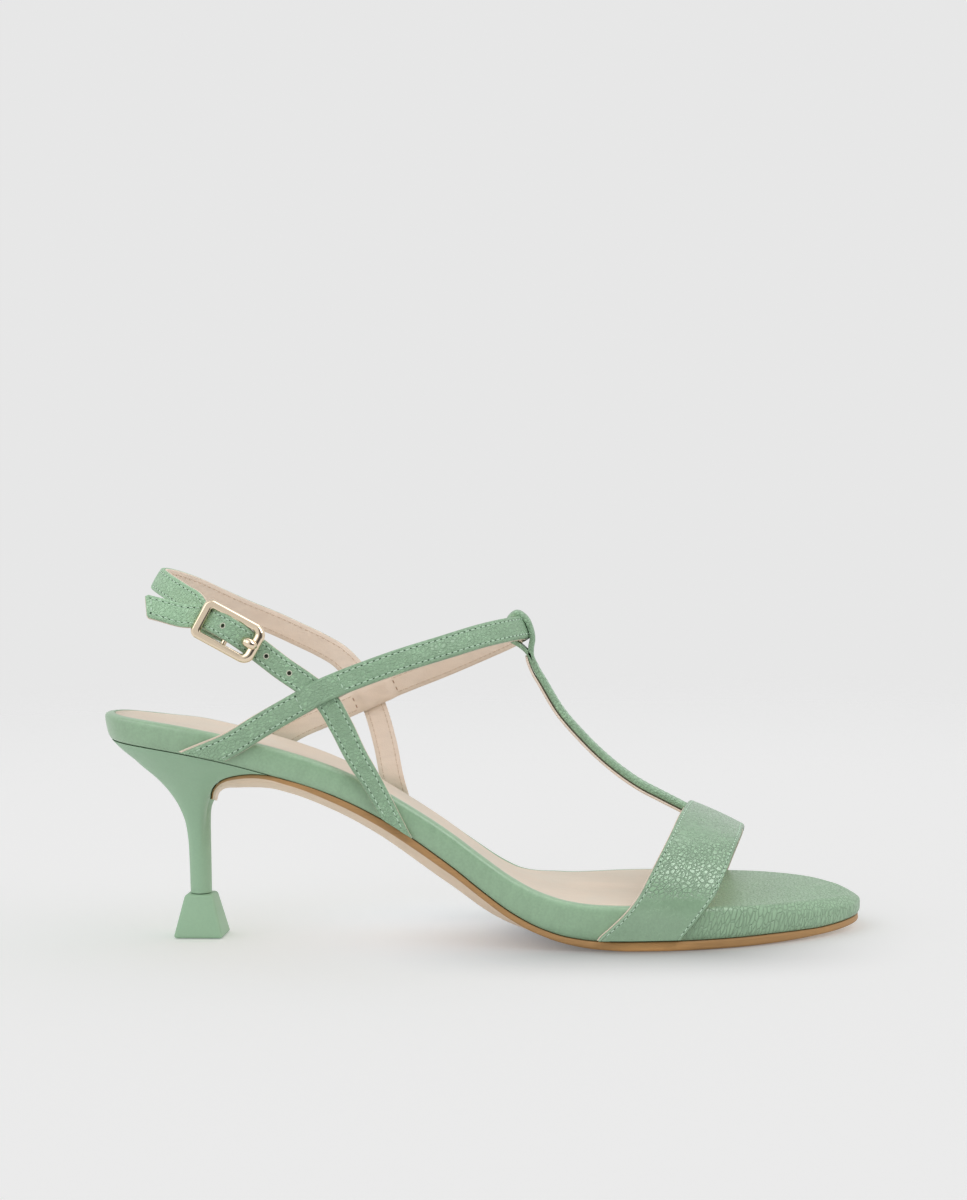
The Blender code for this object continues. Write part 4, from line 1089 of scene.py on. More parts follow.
def end_close(count: int) -> Array:
    """Shares from 0 to 1 that lie closer together towards both ends."""
    even = np.linspace(0, 1, count)
    return 0.45 * even + 0.55 * (1 - np.cos(math.pi * even)) / 2


def span(first: Array, last: Array, shares: Array) -> Array:
    """Columns of points at shares of the way from one line to another."""
    return first * (1 - shares[None, :, None]) + last * shares[None, :, None]


def arch(shares: Array) -> Array:
    """Round rise from 0 at both ends to 1 in the middle."""
    return 1 - (2 * shares - 1) ** 2


def ring(outer: Array, over: Array, inner: Array, back: Array) -> Array:
    """Closed sections of outer edge, way over, inner edge and way back, with the first column repeated."""
    return np.concatenate([outer, over, inner[:, ::-1], back, outer[:, :1]], 1)


@dataclass
class Sole:
    """Outsole, covered board and sock lining."""

    plan: SolePlan
    stations: int = 170
    bed_columns: int = 26
    bed_dish: float = 1.0
    toe_crown: float = 0.7
    heel_cup_lean: float = 1.6
    heel_cup_reach: float = 40.0
    wall_scale: float = 8.0
    rim_step: float = 0.45
    bed_flat: Pair = (170.0, 196.0)
    meeting_width: float = 16.0
    pocket_edge: Pair = (0.004, 0.014)
    sock_inset: float = 3.35
    sock_front: Pair = (171.0, 184.0)
    sock_half: float = 36.0
    sock_thickness: float = 0.8
    sock_proud: float = 0.12
    pocket_depth: float = 0.7
    toe_roll: float = 2.4
    roll_share: Pair = (0.6, 1.0)
    roll_run: Pair = (195.0, 226.0)
    seam_gap: float = 0.1
    outsole_inset: float = 0.5
    breast_line: float = 55.0
    tongue_stations: int = 40
    least_edge: float = 1.0

    def lean(self, along: Array) -> Array:
        """Extra inset of the board's lower edge round the heel, where its wall leans outwards."""
        return self.heel_cup_lean * np.clip(1 - along / self.heel_cup_reach, 0, 1)

    def rim(self, base: Array, outward: Array, share: float, inset: float) -> Array:
        """One line of the board's wall.

        Args:
            base: the side's plan line.
            outward: its outward directions.
            share: share of the wall's height.
            inset: how far in from the plan line.

        Returns:
            Points of the line.
        """
        along, across = base[:, 0], base[:, 1]
        roll = self.toe_roll * ease(*self.roll_share, share) * ease(*self.roll_run, along)
        flat = base - outward * (inset + roll + self.lean(along) * (1 - share))[:, None]
        low = self.plan.seam(along, across) + self.seam_gap
        return np.column_stack([flat, low + (self.plan.rim(along, across) - low) * share])

    def sock_end(self, across: Array) -> Array:
        """Place along of the sock lining's front edge."""
        outer, inner = self.sock_front
        return outer + (inner - outer) * np.clip((across / self.sock_half + 1) / 2, 0, 1)

    def dish(self, outer: Array, inner: Array) -> Array:
        """Depth of the bed's hollow: a low crown under the toes, and none where the sides meet."""
        depth = self.bed_dish - (self.bed_dish + self.toe_crown) * ease(*self.bed_flat, outer[:, 0])
        return (depth * ease(0.0, self.meeting_width, np.linalg.norm(outer - inner, axis=1)))[:, None]

    def make_board(self) -> Object:
        """Covered board: bulged wall, rounded top edge and a shallow bed for the sock lining."""
        places = end_close(self.stations)
        scaled = [(inset, share * self.wall_scale, 0.0) for share, inset in BOARD_RIM.rows]
        profile = smooth_path(scaled, self.rim_step)
        rails = []
        for side in Side:
            base = self.plan.rail(side, 0.0, places)
            outward = base - self.plan.rail(side, 1.0, places)
            lines = [self.rim(base, outward, up / self.wall_scale, inset) for inset, up, _ in profile]
            rails.append(np.stack(lines, 1))
        outer, inner = rails
        shares = np.concatenate([[0.006, 0.012], np.linspace(0.03, 0.97, self.bed_columns), [0.988, 0.994]])
        bed = span(outer[:, -1:], inner[:, -1:], shares)
        sunk = ease(*self.pocket_edge, shares) * ease(*self.pocket_edge, 1 - shares)
        behind = ease(0.0, 1.5, self.sock_end(bed[:, :, 1]) - bed[:, :, 0])
        dish = self.dish(outer[:, -1], inner[:, -1])
        pocket = self.pocket_depth * sunk * behind * np.clip(dish, 0, 1)
        bed[:, :, 2] -= dish * arch(shares) + pocket
        under = span(inner[:, :1], outer[:, :1], np.linspace(0, 1, 12)[1:-1])
        return Workshop.grid("covered_board", ring(outer, bed, inner, under))

    def make_sock(self) -> Object:
        """Sock lining on the bed, with soft cut edges."""
        edge = [(0.25, -self.sock_thickness), (0.0, -0.5), (0.05, -0.12), (0.22, 0.0)]
        rails = []
        for side, front in zip(Side, self.sock_front):
            stop = self.plan.share_at(side, self.sock_inset, front)
            places = (1 - np.cos(np.linspace(0, math.pi / 2, self.stations))) * stop
            base = self.plan.rail(side, self.sock_inset, places)
            top = self.plan.rim(base[:, 0], base[:, 1]) + self.sock_proud
            lines = []
            for inset, drop in edge:
                flat = self.plan.rail(side, self.sock_inset + inset, places)
                lines.append(np.column_stack([flat, top + drop]))
            rails.append(np.stack(lines, 1))
        outer, inner = rails
        shares = np.linspace(0, 1, self.bed_columns + 2)[1:-1]
        bed = span(outer[:, -1:], inner[:, -1:], shares)
        bed[:, :, 2] -= self.dish(outer[:, -1], inner[:, -1]) * arch(shares)
        under = bed[:, ::-1].copy()
        under[:, :, 2] -= self.sock_thickness
        return Workshop.grid("sock_leather", ring(outer, bed, inner, under))

    def outsole_rail(self, side: Side, inset: float) -> Array:
        """One side of the outsole's plan from the end of the tongue to the tip of the toe."""
        name = "lateral" if side is Side.OUTER else "medial"
        start = self.plan.share_at(side, self.outsole_inset, self.breast_line)
        places = start + (1 - start) * end_close(self.stations - self.tongue_stations)
        main = self.plan.rail(side, self.outsole_inset + inset, places)
        ends = np.stack([TONGUE.column("along"), TONGUE.column(name) - side.value * inset], 1)
        line = Table("along across", np.concatenate([ends, main[:1]]))
        share = np.linspace(0, 1, self.tongue_stations + 1)[:-1] ** 1.5
        along = ends[0, 0] + (main[0, 0] - ends[0, 0]) * share
        tongue = np.stack([along, line.at("across", along)], 1)
        return np.concatenate([tongue, main])

    def outsole_edge(self, side: Side) -> Array:
        """One side of the outsole's edge: stations by levels by places."""
        base = self.outsole_rail(side, 0.0)
        thick = TONGUE.at("thick", base[:, 0]) + EDGE_DEPTH.at("extra", base[:, 0])
        thick = np.maximum(thick - self.plan.seam_drop(base[:, 0]), self.least_edge)
        lines = []
        for share, inset in EDGE_LEVELS.rows:
            flat = self.outsole_rail(side, inset)
            moved = self.plan.below_outsole(base, thick * share)
            along = moved[:, 0] + flat[:, 0] - base[:, 0]
            lines.append(np.column_stack([along, flat[:, 1], moved[:, 2]]))
        return np.stack(lines, 1)

    def make_outsole(self) -> Object:
        """Outsole: flat tread, rounded arch and a tongue down the breast of the heel."""
        outer, inner = [self.outsole_edge(side) for side in Side]
        shares = np.linspace(0, 1, self.bed_columns + 2)[1:-1]
        top = span(inner[:, :1], outer[:, :1], shares)
        under = span(outer[:, -1:], inner[:, -1:], shares)
        under[:, :, 2] -= DOME.at("drop", under[:, :, 0]) * arch(shares)
        section = ring(outer, under, inner, top)
        obj = Workshop.grid("leather_outsole", section, weld=False)
        self.mark_edge(obj, section.shape)
        Workshop.close(obj)
        return obj

    def mark_edge(self, obj: Object, shape: tuple[int, ...]) -> None:
        """Write the share of the edge's depth into a UV map named edge.

        Args:
            obj: the outsole as a plain grid.
            shape: its rows and columns of points.
        """
        levels = EDGE_LEVELS.column("share")
        count = len(levels)
        marks = np.full(shape[1], 4.0)
        marks[:count] = levels
        marks[count + self.bed_columns:2 * count + self.bed_columns] = levels[::-1]
        marks[2 * count + self.bed_columns:] = 0.0
        corner = np.empty(len(obj.data.loops), int)
        obj.data.loops.foreach_get("vertex_index", corner)
        rail = self.outsole_rail(Side.OUTER, 0.0)[:, 0]
        tan = EDGE_DEPTH.at("tan", rail)[corner // shape[1]]
        layer = obj.data.uv_layers.new(name="edge")
        spots = np.stack([np.zeros(len(corner)), marks[corner % shape[1]] / tan], 1)
        layer.data.foreach_set("uv", spots.ravel())

    def breast_tool(self, depth: float = 5.0, margin: float = 6.0, rows: int = 56) -> Object:
        """Solid in front of the heel's breast, to cut the heel with."""
        sides = []
        for side in Side:
            base = self.outsole_rail(side, -margin)[:rows]
            lines = [self.plan.below_outsole(base, d) for d in (-FIT_GAP, depth)]
            sides.append(np.stack(lines, 1))
        outer, inner = sides
        section = np.concatenate([outer, inner[:, ::-1], outer[:, :1]], 1)
        return Workshop.grid("breast_tool", section)

    def build(self) -> None:
        """Build and dress the three pieces."""
        dress(self.make_board(), BOARD_GREEN.material("board_leather"), "insole_board", 60)
        dress(self.make_sock(), SOCK.material("sock_leather"), "sock_lining", 50)
        dress(self.make_outsole(), OUTSOLE.material("outsole_leather"), "outsole", 60)


@dataclass
class Heel:
    """Flared heel on a slim stem, and the tapered foot under it."""

    plan: SolePlan
    sole: Sole
    stem_along: float = 28.3
    stem_across: float = -2.2
    stem_half: Pair = (3.25, 4.2)
    stem_bottom: float = 13.4
    front: float = 54.0
    front_bow: float = 2.0
    side_inset: float = 0.6
    breast_start: float = 30.0
    breast_sharpness: float = 3.0
    levels: int = 70
    foot_height: float = 13.1
    foot_base: Pair = (15.3, 14.3)
    foot_top: Pair = (8.7, 9.0)
    foot_turn: float = -5.0
    foot_bevel: float = 0.9
    seat_gap: float = 0.06

    def seat(self) -> Array:
        """Closed line of the heel's seat under the board."""
        rails = []
        for side in Side:
            even = np.linspace(0, self.plan.share_at(side, self.side_inset, self.front), 60)
            line = self.plan.rail(side, self.side_inset, even)
            outward = line - self.plan.rail(side, self.side_inset + 1, even)
            rails.append(line - outward * self.sole.lean(line[:, :1]))
        share = np.linspace(0, 1, 22)[1:-1, None]
        bow = np.array([self.front_bow, 0.0]) * arch(share)
        front = rails[0][-1] * (1 - share) + rails[1][-1] * share + bow
        return np.concatenate([rails[0], front, rails[1][::-1]])

    def make_stem(self) -> Object:
        """The seat drawn in to a slim oval stem, its front cut to the breast line."""
        seat = self.seat()
        top = self.plan.seam(seat[:, 0], seat[:, 1]) - self.seat_gap
        middle = np.array([self.stem_along, self.stem_across])
        angle = np.arctan2(seat[:, 1] - middle[1], seat[:, 0] - middle[0])
        stem = middle + np.stack([np.cos(angle), np.sin(angle)], 1) * np.array(self.stem_half)
        forward = np.clip((seat[:, 0] - self.breast_start) / (self.front - self.breast_start), 0, 1)
        power = 1 + self.breast_sharpness * forward ** 2
        drops = np.linspace(0, 1, self.levels) ** 1.25
        rings = []
        for drop in drops:
            spread = float(FLARE.at("spread", drop))
            flat = stem + (seat - stem) * (spread ** power)[:, None]
            rings.append(np.column_stack([flat, top + (self.stem_bottom - top) * drop]))
        spine = (rings[0] + rings[0][::-1]) / 2
        lid = [spine + (rings[0] - spine) * share for share in (0.0, 0.35, 0.7)]
        section = np.stack(lid + rings)
        section = np.concatenate([section, section[:, :1]], 1)
        heel = Workshop.grid("wrapped_heel", section)
        Workshop.combine(heel, self.sole.breast_tool())
        return heel

    def make_foot(self) -> Object:
        """Four-sided foot from a block: tapered at the top, edges eased."""
        Workshop.deselect()
        spot = Workshop.place(np.array([self.stem_along, self.stem_across, self.foot_height / 2]))
        bpy.ops.mesh.primitive_cube_add(size=1, location=spot.tolist())
        foot = bpy.context.object
        foot.name = foot.data.name = "heel_foot"
        foot.scale = (self.foot_base[0] * MM, self.foot_base[1] * MM, self.foot_height * MM)
        foot.rotation_euler = (0.0, 0.0, math.radians(self.foot_turn))
        for vert in foot.data.vertices:
            if vert.co.z > 0:
                vert.co.x *= self.foot_top[0] / self.foot_base[0]
                vert.co.y *= self.foot_top[1] / self.foot_base[1]
        Workshop.settle(foot)
        with Workshop.editing(foot):
            bpy.ops.mesh.bevel(offset=self.foot_bevel * MM, segments=4, profile=0.5, affect="EDGES")
        return foot

    def build(self) -> None:
        """Build and dress both pieces."""
        dress(self.make_stem(), HEEL_GREEN.material("heel_wrap"), "heel", 45)
        dress(self.make_foot(), HEEL_GREEN.material("heel_foot_finish"), "heel_top_piece", 30)


@dataclass
class Strip:
    """A strap's course: its two edge lines and the way its face looks, at close stations."""

    slant_reach = 6.0
    left: Array
    right: Array
    out: Array
    middle: Array = field(init=False)
    wide: Array = field(init=False)
    half: Array = field(init=False)
    arc: Array = field(init=False)

    def __post_init__(self) -> None:
        """Work out the middle line, the half widths and the lengths along."""
        self.middle = (self.left + self.right) / 2
        across = self.right - self.left
        self.half = np.linalg.norm(across, axis=1) / 2
        self.wide = unit(across)
        self.arc = run_lengths(self.middle)

    @classmethod
    def along_rows(cls, rows: Array, width: float, step: float = 0.8, round_end: float = 0.0,
                   flare: Triple = (1.0, 0.0, 0.0), slant: float = 0.0) -> "Strip":
        """A narrow strap through rows of place, turn and lean.

        Args:
            rows: the rows.
            width: the strap's width.
            step: distance between stations.
            round_end: radius of the corners at the last end.
            flare: length from the first end over which the edges run in, and how much wider each starts.
            slant: how far the cut of the last end leans, forward at the left edge.

        Returns:
            The strip.
        """
        path = smooth_path(rows, step)
        centre = path[:, :3]
        run = unit(np.gradient(centre, axis=0))
        out = facing(path[:, 3], path[:, 4])
        out = unit(out - run * np.sum(out * run, axis=1)[:, None])
        wide = np.cross(out, run)
        half = np.full(len(path), width / 2)
        arc = run_lengths(centre)
        if round_end:
            over = np.clip((arc - arc[-1] + round_end) / round_end, 0, 1)
            half -= round_end * (1 - np.sqrt(1 - over ** 2))
        start = 1 - ease(0.0, flare[0], arc)
        lean = run * (slant * ease(arc[-1] - cls.slant_reach, arc[-1], arc))[:, None]
        left = centre - wide * (half + flare[1] * start)[:, None] + lean
        right = centre + wide * (half + flare[2] * start)[:, None] - lean
        return cls(left, right, out)

    def part(self, start: float, end: float) -> "Strip":
        """The stretch of the strip between two lengths along."""
        keep = (self.arc >= start) & (self.arc <= end)
        return Strip(self.left[keep], self.right[keep], self.out[keep])

    def arc_at_height(self, up: float) -> float:
        """Length along at which the strap first rises to a height."""
        return float(self.arc[int(np.argmax(self.middle[:, 2] >= up))])

    @property
    def length(self) -> float:
        """Length of the middle line."""
        return float(self.arc[-1])

    def _at(self, values: Array, arc: float) -> Array:
        """A value of the stations at a length along."""
        return along_run(arc, self.arc, values)

    def spot(self, arc: float, across: float, lift: float) -> Spot:
        """A point at a length along, a distance across and a height, and the outward direction there."""
        out = unit(self._at(self.out, arc))
        return self._at(self.middle, arc) + self._at(self.wide, arc) * across + out * lift, out

    def half_at(self, arc: float) -> float:
        """Half width at a length along."""
        return float(np.interp(arc, self.arc, self.half))

    def arc_near(self, along: float, side: Side) -> float:
        """Length along at which the strap passes a place along, on one side of the shoe."""
        here = self.middle[:, 1] * side.value > 0
        gap = np.where(here, np.abs(self.middle[:, 0] - along), np.inf)
        return float(self.arc[int(np.argmin(gap))])

    def tube(self, layer: "Layer", dip: Array | float = 0.0, thin: Array | float = 1.0) -> Array:
        """Closed sections of one layer of the strap.

        Args:
            layer: the layer's section.
            dip: how far the layer is pushed inwards at each station.
            thin: factor on the layer's heights at each station.

        Returns:
            Rows and columns of points, with the first column repeated.
        """
        across, lift = layer.loop(self.half)
        count = len(self.arc)
        lift = lift * np.broadcast_to(thin, count)[:, None] - np.broadcast_to(dip, count)[:, None]
        flat = self.middle[:, None] + self.wide[:, None] * across[..., None]
        points = flat + self.out[:, None] * lift[..., None]
        return np.concatenate([points, points[:, :1]], 1)


@dataclass(frozen=True)
class Layer:
    """Section of one layer of a strap: two faces, eased edges, a crown and a sunk line for the stitches."""

    low: float
    high: float
    inset: float = 0.0
    rear_extra: float = 0.0
    soft: float = 0.7
    crown: float = 0.0
    stitch_inset: float = 1.25
    channel: float = 0.0
    groove: float = 0.4
    groove_round: float = 0.22
    under_soft: float = 0.14
    columns: int = 7

    def loop(self, half: Array) -> tuple[Array, Array]:
        """The closed section at each station.

        Args:
            half: half widths of the strap.

        Returns:
            Distances from the middle line and heights, stations by points.
        """
        edge = half - self.inset
        soft = min(self.soft, (self.high - self.low) * 0.6)
        turn = np.radians([0, 22.5, 45, 67.5, 90])
        corner = [(soft * (1 - math.cos(a)), soft * (1 - math.sin(a))) for a in turn]
        across, lift = [], []
        for offset, drop in corner:
            across.append(edge - offset)
            lift.append(np.full_like(edge, self.high - drop))
        for offset in self.groove * np.linspace(-1, 1, 5):
            across.append(edge - self.stitch_inset - offset)
            sunk = self.channel * math.exp(-(offset / self.groove_round) ** 2)
            lift.append(np.full_like(edge, self.high - sunk))
        for share in np.linspace(1, 0, self.columns + 2)[1:]:
            across.append((edge - self.stitch_inset - self.groove) * share)
            lift.append(np.full_like(edge, self.high))
        mirror = range(len(across) - 2, -1, -1)
        across += [-across[k] for k in mirror]
        lift += [lift[k] for k in mirror]
        low = self.under_soft
        under = [(-1, low, 0), (-1, 0, low), (-0.5, 0, 0), (0, 0, 0), (0.5, 0, 0), (1, 0, low), (1, low, 0)]
        for share, rise, offset in under:
            across.append(edge * share - offset * share)
            lift.append(np.full_like(edge, self.low + rise))
        x = np.stack(across, 1)
        y = np.stack(lift, 1)
        y = y + self.crown * np.clip(1 - (x / half[:, None]) ** 2, 0, 1) * (y > self.low + 0.2)
        x = np.where(x > 0, x, x - self.rear_extra)
        return x, y

    def face(self, half: float, across: float) -> float:
        """Height of the outer face at a distance from the middle line."""
        return self.high + self.crown * (1 - (across / half) ** 2)

    def stitch_lift(self, half: float) -> float:
        """Height of the sunk line that the stitches lie in."""
        share = (half - self.inset - self.stitch_inset) / half
        return self.high - self.channel + self.crown * (1 - share ** 2)


def at_pitch(line: list[Spot], pitch: float) -> tuple[Array, Array, Array]:
    """Evenly spaced places on a line over a surface.

    Args:
        line: points with their outward directions.
        pitch: wished distance between places.

    Returns:
        Middle of each space, its direction and its outward direction.
    """
    points = np.array([p for p, _ in line])
    outs = np.array([o for _, o in line])
    run = run_lengths(points)
    count = max(1, round(run[-1] / pitch))
    marks = np.linspace(0, run[-1], count + 1)
    ends = along_run(marks, run, points)
    out = along_run((marks[1:] + marks[:-1]) / 2, run, outs)
    return (ends[1:] + ends[:-1]) / 2, unit(ends[1:] - ends[:-1]), unit(out)


@dataclass
class Sewing:
    """Stitches, and the needle holes as painted shade, gathered from all the straps."""

    pitch: float = 1.93
    stitch_length: float = 1.3
    stitch_radius: float = 0.16
    hole_radius: float = 0.3
    cut_margin: float = 1.2
    stitches: list[Array] = field(default_factory=list)
    holes: list[Array] = field(default_factory=list)

    def row(self, line: list[Spot], planes: Sequence[Spot] = (),
            pitch: float | None = None) -> None:
        """Add a row of stitches.

        Args:
            line: points with outward directions.
            planes: points and normals of planes at which the strap is cut off; no stitch lies near or below.
            pitch: distance between stitches, if it isn't the usual one.
        """
        middles, ways, outs = at_pitch(line, pitch or self.pitch)
        for middle, way, out in zip(middles, ways, outs):
            if any(np.dot(middle - point, normal) < self.cut_margin for point, normal in planes):
                continue
            side = np.cross(out, way)
            frame = np.eye(4)
            frame[:3, :3] = np.stack([way, side, np.cross(way, side)], 1)
            frame[:3, 3] = middle
            self.stitches.append(frame)
            hole = frame.copy()
            hole[:3, 3] = middle + way * (pitch or self.pitch) / 2
            self.holes.append(hole)

    def build(self, name: str, thread: SewingThread, hole: SewingThread, slot: Slot) -> None:
        """Make and dress all stitches and the painted shade of the holes gathered so far.

        Args:
            name: start of the two pieces' names.
            thread: the thread's finish.
            hole: the finish of the holes, a painted shade.
            slot: the record's material slot; not used.
        """
        Workshop.deselect()
        bpy.ops.mesh.primitive_uv_sphere_add(segments=8, ring_count=6, radius=1.0)
        model = bpy.context.object
        for vert in model.data.vertices:
            x, y, z = vert.co
            bulge = math.copysign(abs(z) ** 0.6, z)
            vert.co = (bulge * self.stitch_length / 2, x * self.stitch_radius, y * self.stitch_radius)
        stitches = Workshop.copies(name + "_stitches", model, np.array(self.stitches))
        dress(stitches, thread.material(name + "_thread"))
        # Small dark discs at the needle holes: painted shade.
        bpy.ops.mesh.primitive_circle_add(vertices=7, radius=self.hole_radius, fill_type="TRIFAN")
        model = bpy.context.object
        for vert in model.data.vertices:
            vert.co.z = 0.0 if vert.co.length < 0.01 else -0.03
        holes = Workshop.copies(name + "_needle_hole_shades", model, np.array(self.holes))
        dress(holes, hole.material(name + "_hole_shade"))


@dataclass
class Buckle:
    """Frame, bar and prong of the buckle, in its own directions: reach, rise, out."""

    centre: Triple = (40.6, -28.0, 95.2)
    fall: float = 29.3
    turn: float = -6.0
    lean: float = 10.0
    length: float = 21.2
    width: float = 12.6
    back_rail: float = 2.8
    front_rail: float = 3.3
    side_rail: float = 2.35
    thick: float = 2.0
    outer_corners: Pair = (2.5, 3.7)
    window_corners: Pair = (0.7, 1.2)
    strap_rises: tuple[float, ...] = (0.3, -0.4, -0.75, -0.75, -0.5)
    bar_radius: float = 0.85
    bar_drop: float = 1.3
    strap_thickness: float = 1.8
    crown: float = 1.5
    bevel: Pair = (0.7, 0.75)
    rod_run: Pair = (4.2, 1.2)
    prong_hole_shade: float = 5.4

    def axes(self) -> tuple[Array, Array, Array]:
        """Directions along the strap towards the toe, across it downwards, and outwards."""
        out = facing(self.turn, self.lean)
        fall = math.radians(self.fall)
        reach = np.array([math.cos(fall), 0.0, -math.sin(fall)])
        reach = unit(reach - out * np.dot(reach, out))
        return reach, -np.cross(out, reach), out

    def at(self, reach: Array | float, rise: Array | float, out: Array | float) -> Array:
        """Places in the shoe of points given in the buckle's own directions."""
        axes = self.axes()
        parts = [np.asarray(v, float)[..., None] * a for v, a in zip((reach, rise, out), axes)]
        return np.array(self.centre) + parts[0] + parts[1] + parts[2]

    def weave(self) -> list[tuple[float, ...]]:
        """Rows of the ankle strap under the front rail, over the bar and under the back rail."""
        dip = self.thick / 2 + 2 * FIT_GAP + self.strap_thickness / 2
        front, back = self.length / 2 - self.front_rail / 2, self.back_rail / 2 - self.length / 2
        rows = []
        steps = ((front, -dip), (front / 2, 0.0), (0.0, self.crown), (back / 2, 0.0), (back, -dip))
        for (reach, lift), rise in zip(steps, self.strap_rises):
            rows.append((*self.at(reach, rise, lift), self.turn, self.lean))
        return rows

    def outline(self, insets: Triple, corners: Pair) -> Array:
        """Closed oblong with rounded corners inside the frame's box.

        Args:
            insets: how far in at the back, at the front and at the long sides.
            corners: radius of the back corners and of the front ones.

        Returns:
            Places along reach and rise.
        """
        back, front = insets[0] - self.length / 2, self.length / 2 - insets[1]
        half = self.width / 2 - insets[2]
        points = []
        for turn, way, up in ((0, -1, 1), (90, 1, 1), (180, 1, -1), (270, -1, -1)):
            end, radius = (front, corners[1]) if way < 0 else (back, corners[0])
            for angle in np.radians(np.linspace(turn, turn + 90, 9)):
                reach = end + way * radius + radius * math.cos(angle)
                points.append((reach, up * (half - radius) + radius * math.sin(angle)))
        return np.array(points + points[:1])

    def section(self, width: float, rounded: float) -> list[Pair]:
        """Section of a rail from its outer to its inner side.

        Args:
            width: the rail's width.
            rounded: 0 for a flat face with bevelled edges, 1 for a round rod.

        Returns:
            Distances from the outer side and heights.
        """
        top = self.thick / 2
        wide, deep = self.bevel
        flat = [
            (0.35, -top),
            (0.0, 0.3 - top),
            (0.0, top - deep - 0.1),
            (0.06, top - deep + 0.06),
            (wide - 0.14, top - 0.12),
            (wide + 0.06, top),
            (wide + 0.2, top),
            (width - 0.55, top),
            (width - 0.42, top),
            (width - 0.12, top - 0.14),
            (width, top - 0.4),
            (width, 0.3 - top),
            (width - 0.35, -top),
        ]
        angles = np.radians(np.linspace(215, -35, len(flat)))
        rod = [(width / 2 * (1 + math.cos(a)), 1.2 * top * math.sin(a) - 0.1) for a in angles]
        return [(x + (u - x) * rounded, y + (v - y) * rounded) for (x, y), (u, v) in zip(flat, rod)]

    def make_frame(self) -> Object:
        """Frame with bevelled flat rails, its front rail a round rod, and its bar."""
        outer = self.outline((0.0, 0.0, 0.0), self.outer_corners)
        window = self.outline((self.back_rail, self.front_rail, self.side_rail), self.window_corners)
        rows = []
        for start, end in zip(outer, window):
            width = float(np.linalg.norm(end - start))
            way = (end - start) / width
            rounded = float(ease(-self.rod_run[0], -self.rod_run[1], start[0] - self.length / 2))
            section = self.section(width, rounded)
            rows.append([self.at(*(start + way * w), t) for w, t in section + section[:1]])
        frame = Workshop.grid("buckle_oblong", np.array(rows))
        Workshop.deselect()
        bpy.ops.mesh.primitive_cylinder_add(
            vertices=24, radius=self.bar_radius * MM, depth=(self.width - self.side_rail) * MM)
        bar = bpy.context.object
        _, rise, _ = self.axes()
        place = Matrix.Translation(Workshop.place(self.at(0.0, 0.0, -self.bar_drop)))
        bar.data.transform(place @ Workshop.upright(rise))
        Workshop.combine(frame, bar, "UNION")
        return frame

    def make_prong(self) -> Object:
        """Prong hooked over the bar, through the strap and onto the front rail, with a full rounded tip."""
        rows = PRONG.rows
        path = smooth_path(np.column_stack([rows[:, :2], np.zeros(len(rows)), rows[:, 2:]]), 0.25)
        run = unit(np.gradient(path[:, :2], axis=0))
        side = np.stack([-run[:, 1], run[:, 0]], 1)
        turn = np.linspace(0, 2 * math.pi, 21)
        rise = path[:, 3:4] * np.cos(turn)[None]
        lift = path[:, 4:5] * np.sin(turn)[None]
        reach = path[:, :1] + side[:, :1] * lift
        out = path[:, 1:2] + side[:, 1:2] * lift
        return Workshop.grid("buckle_tongue", self.at(reach, rise, out))

    def build(self) -> None:
        """Build and dress frame and prong."""
        gold = GOLD.material("pale_gold")
        dress(self.make_frame(), gold, "buckle_frame", 32)
        dress(self.make_prong(), gold, "buckle_prong", 60)


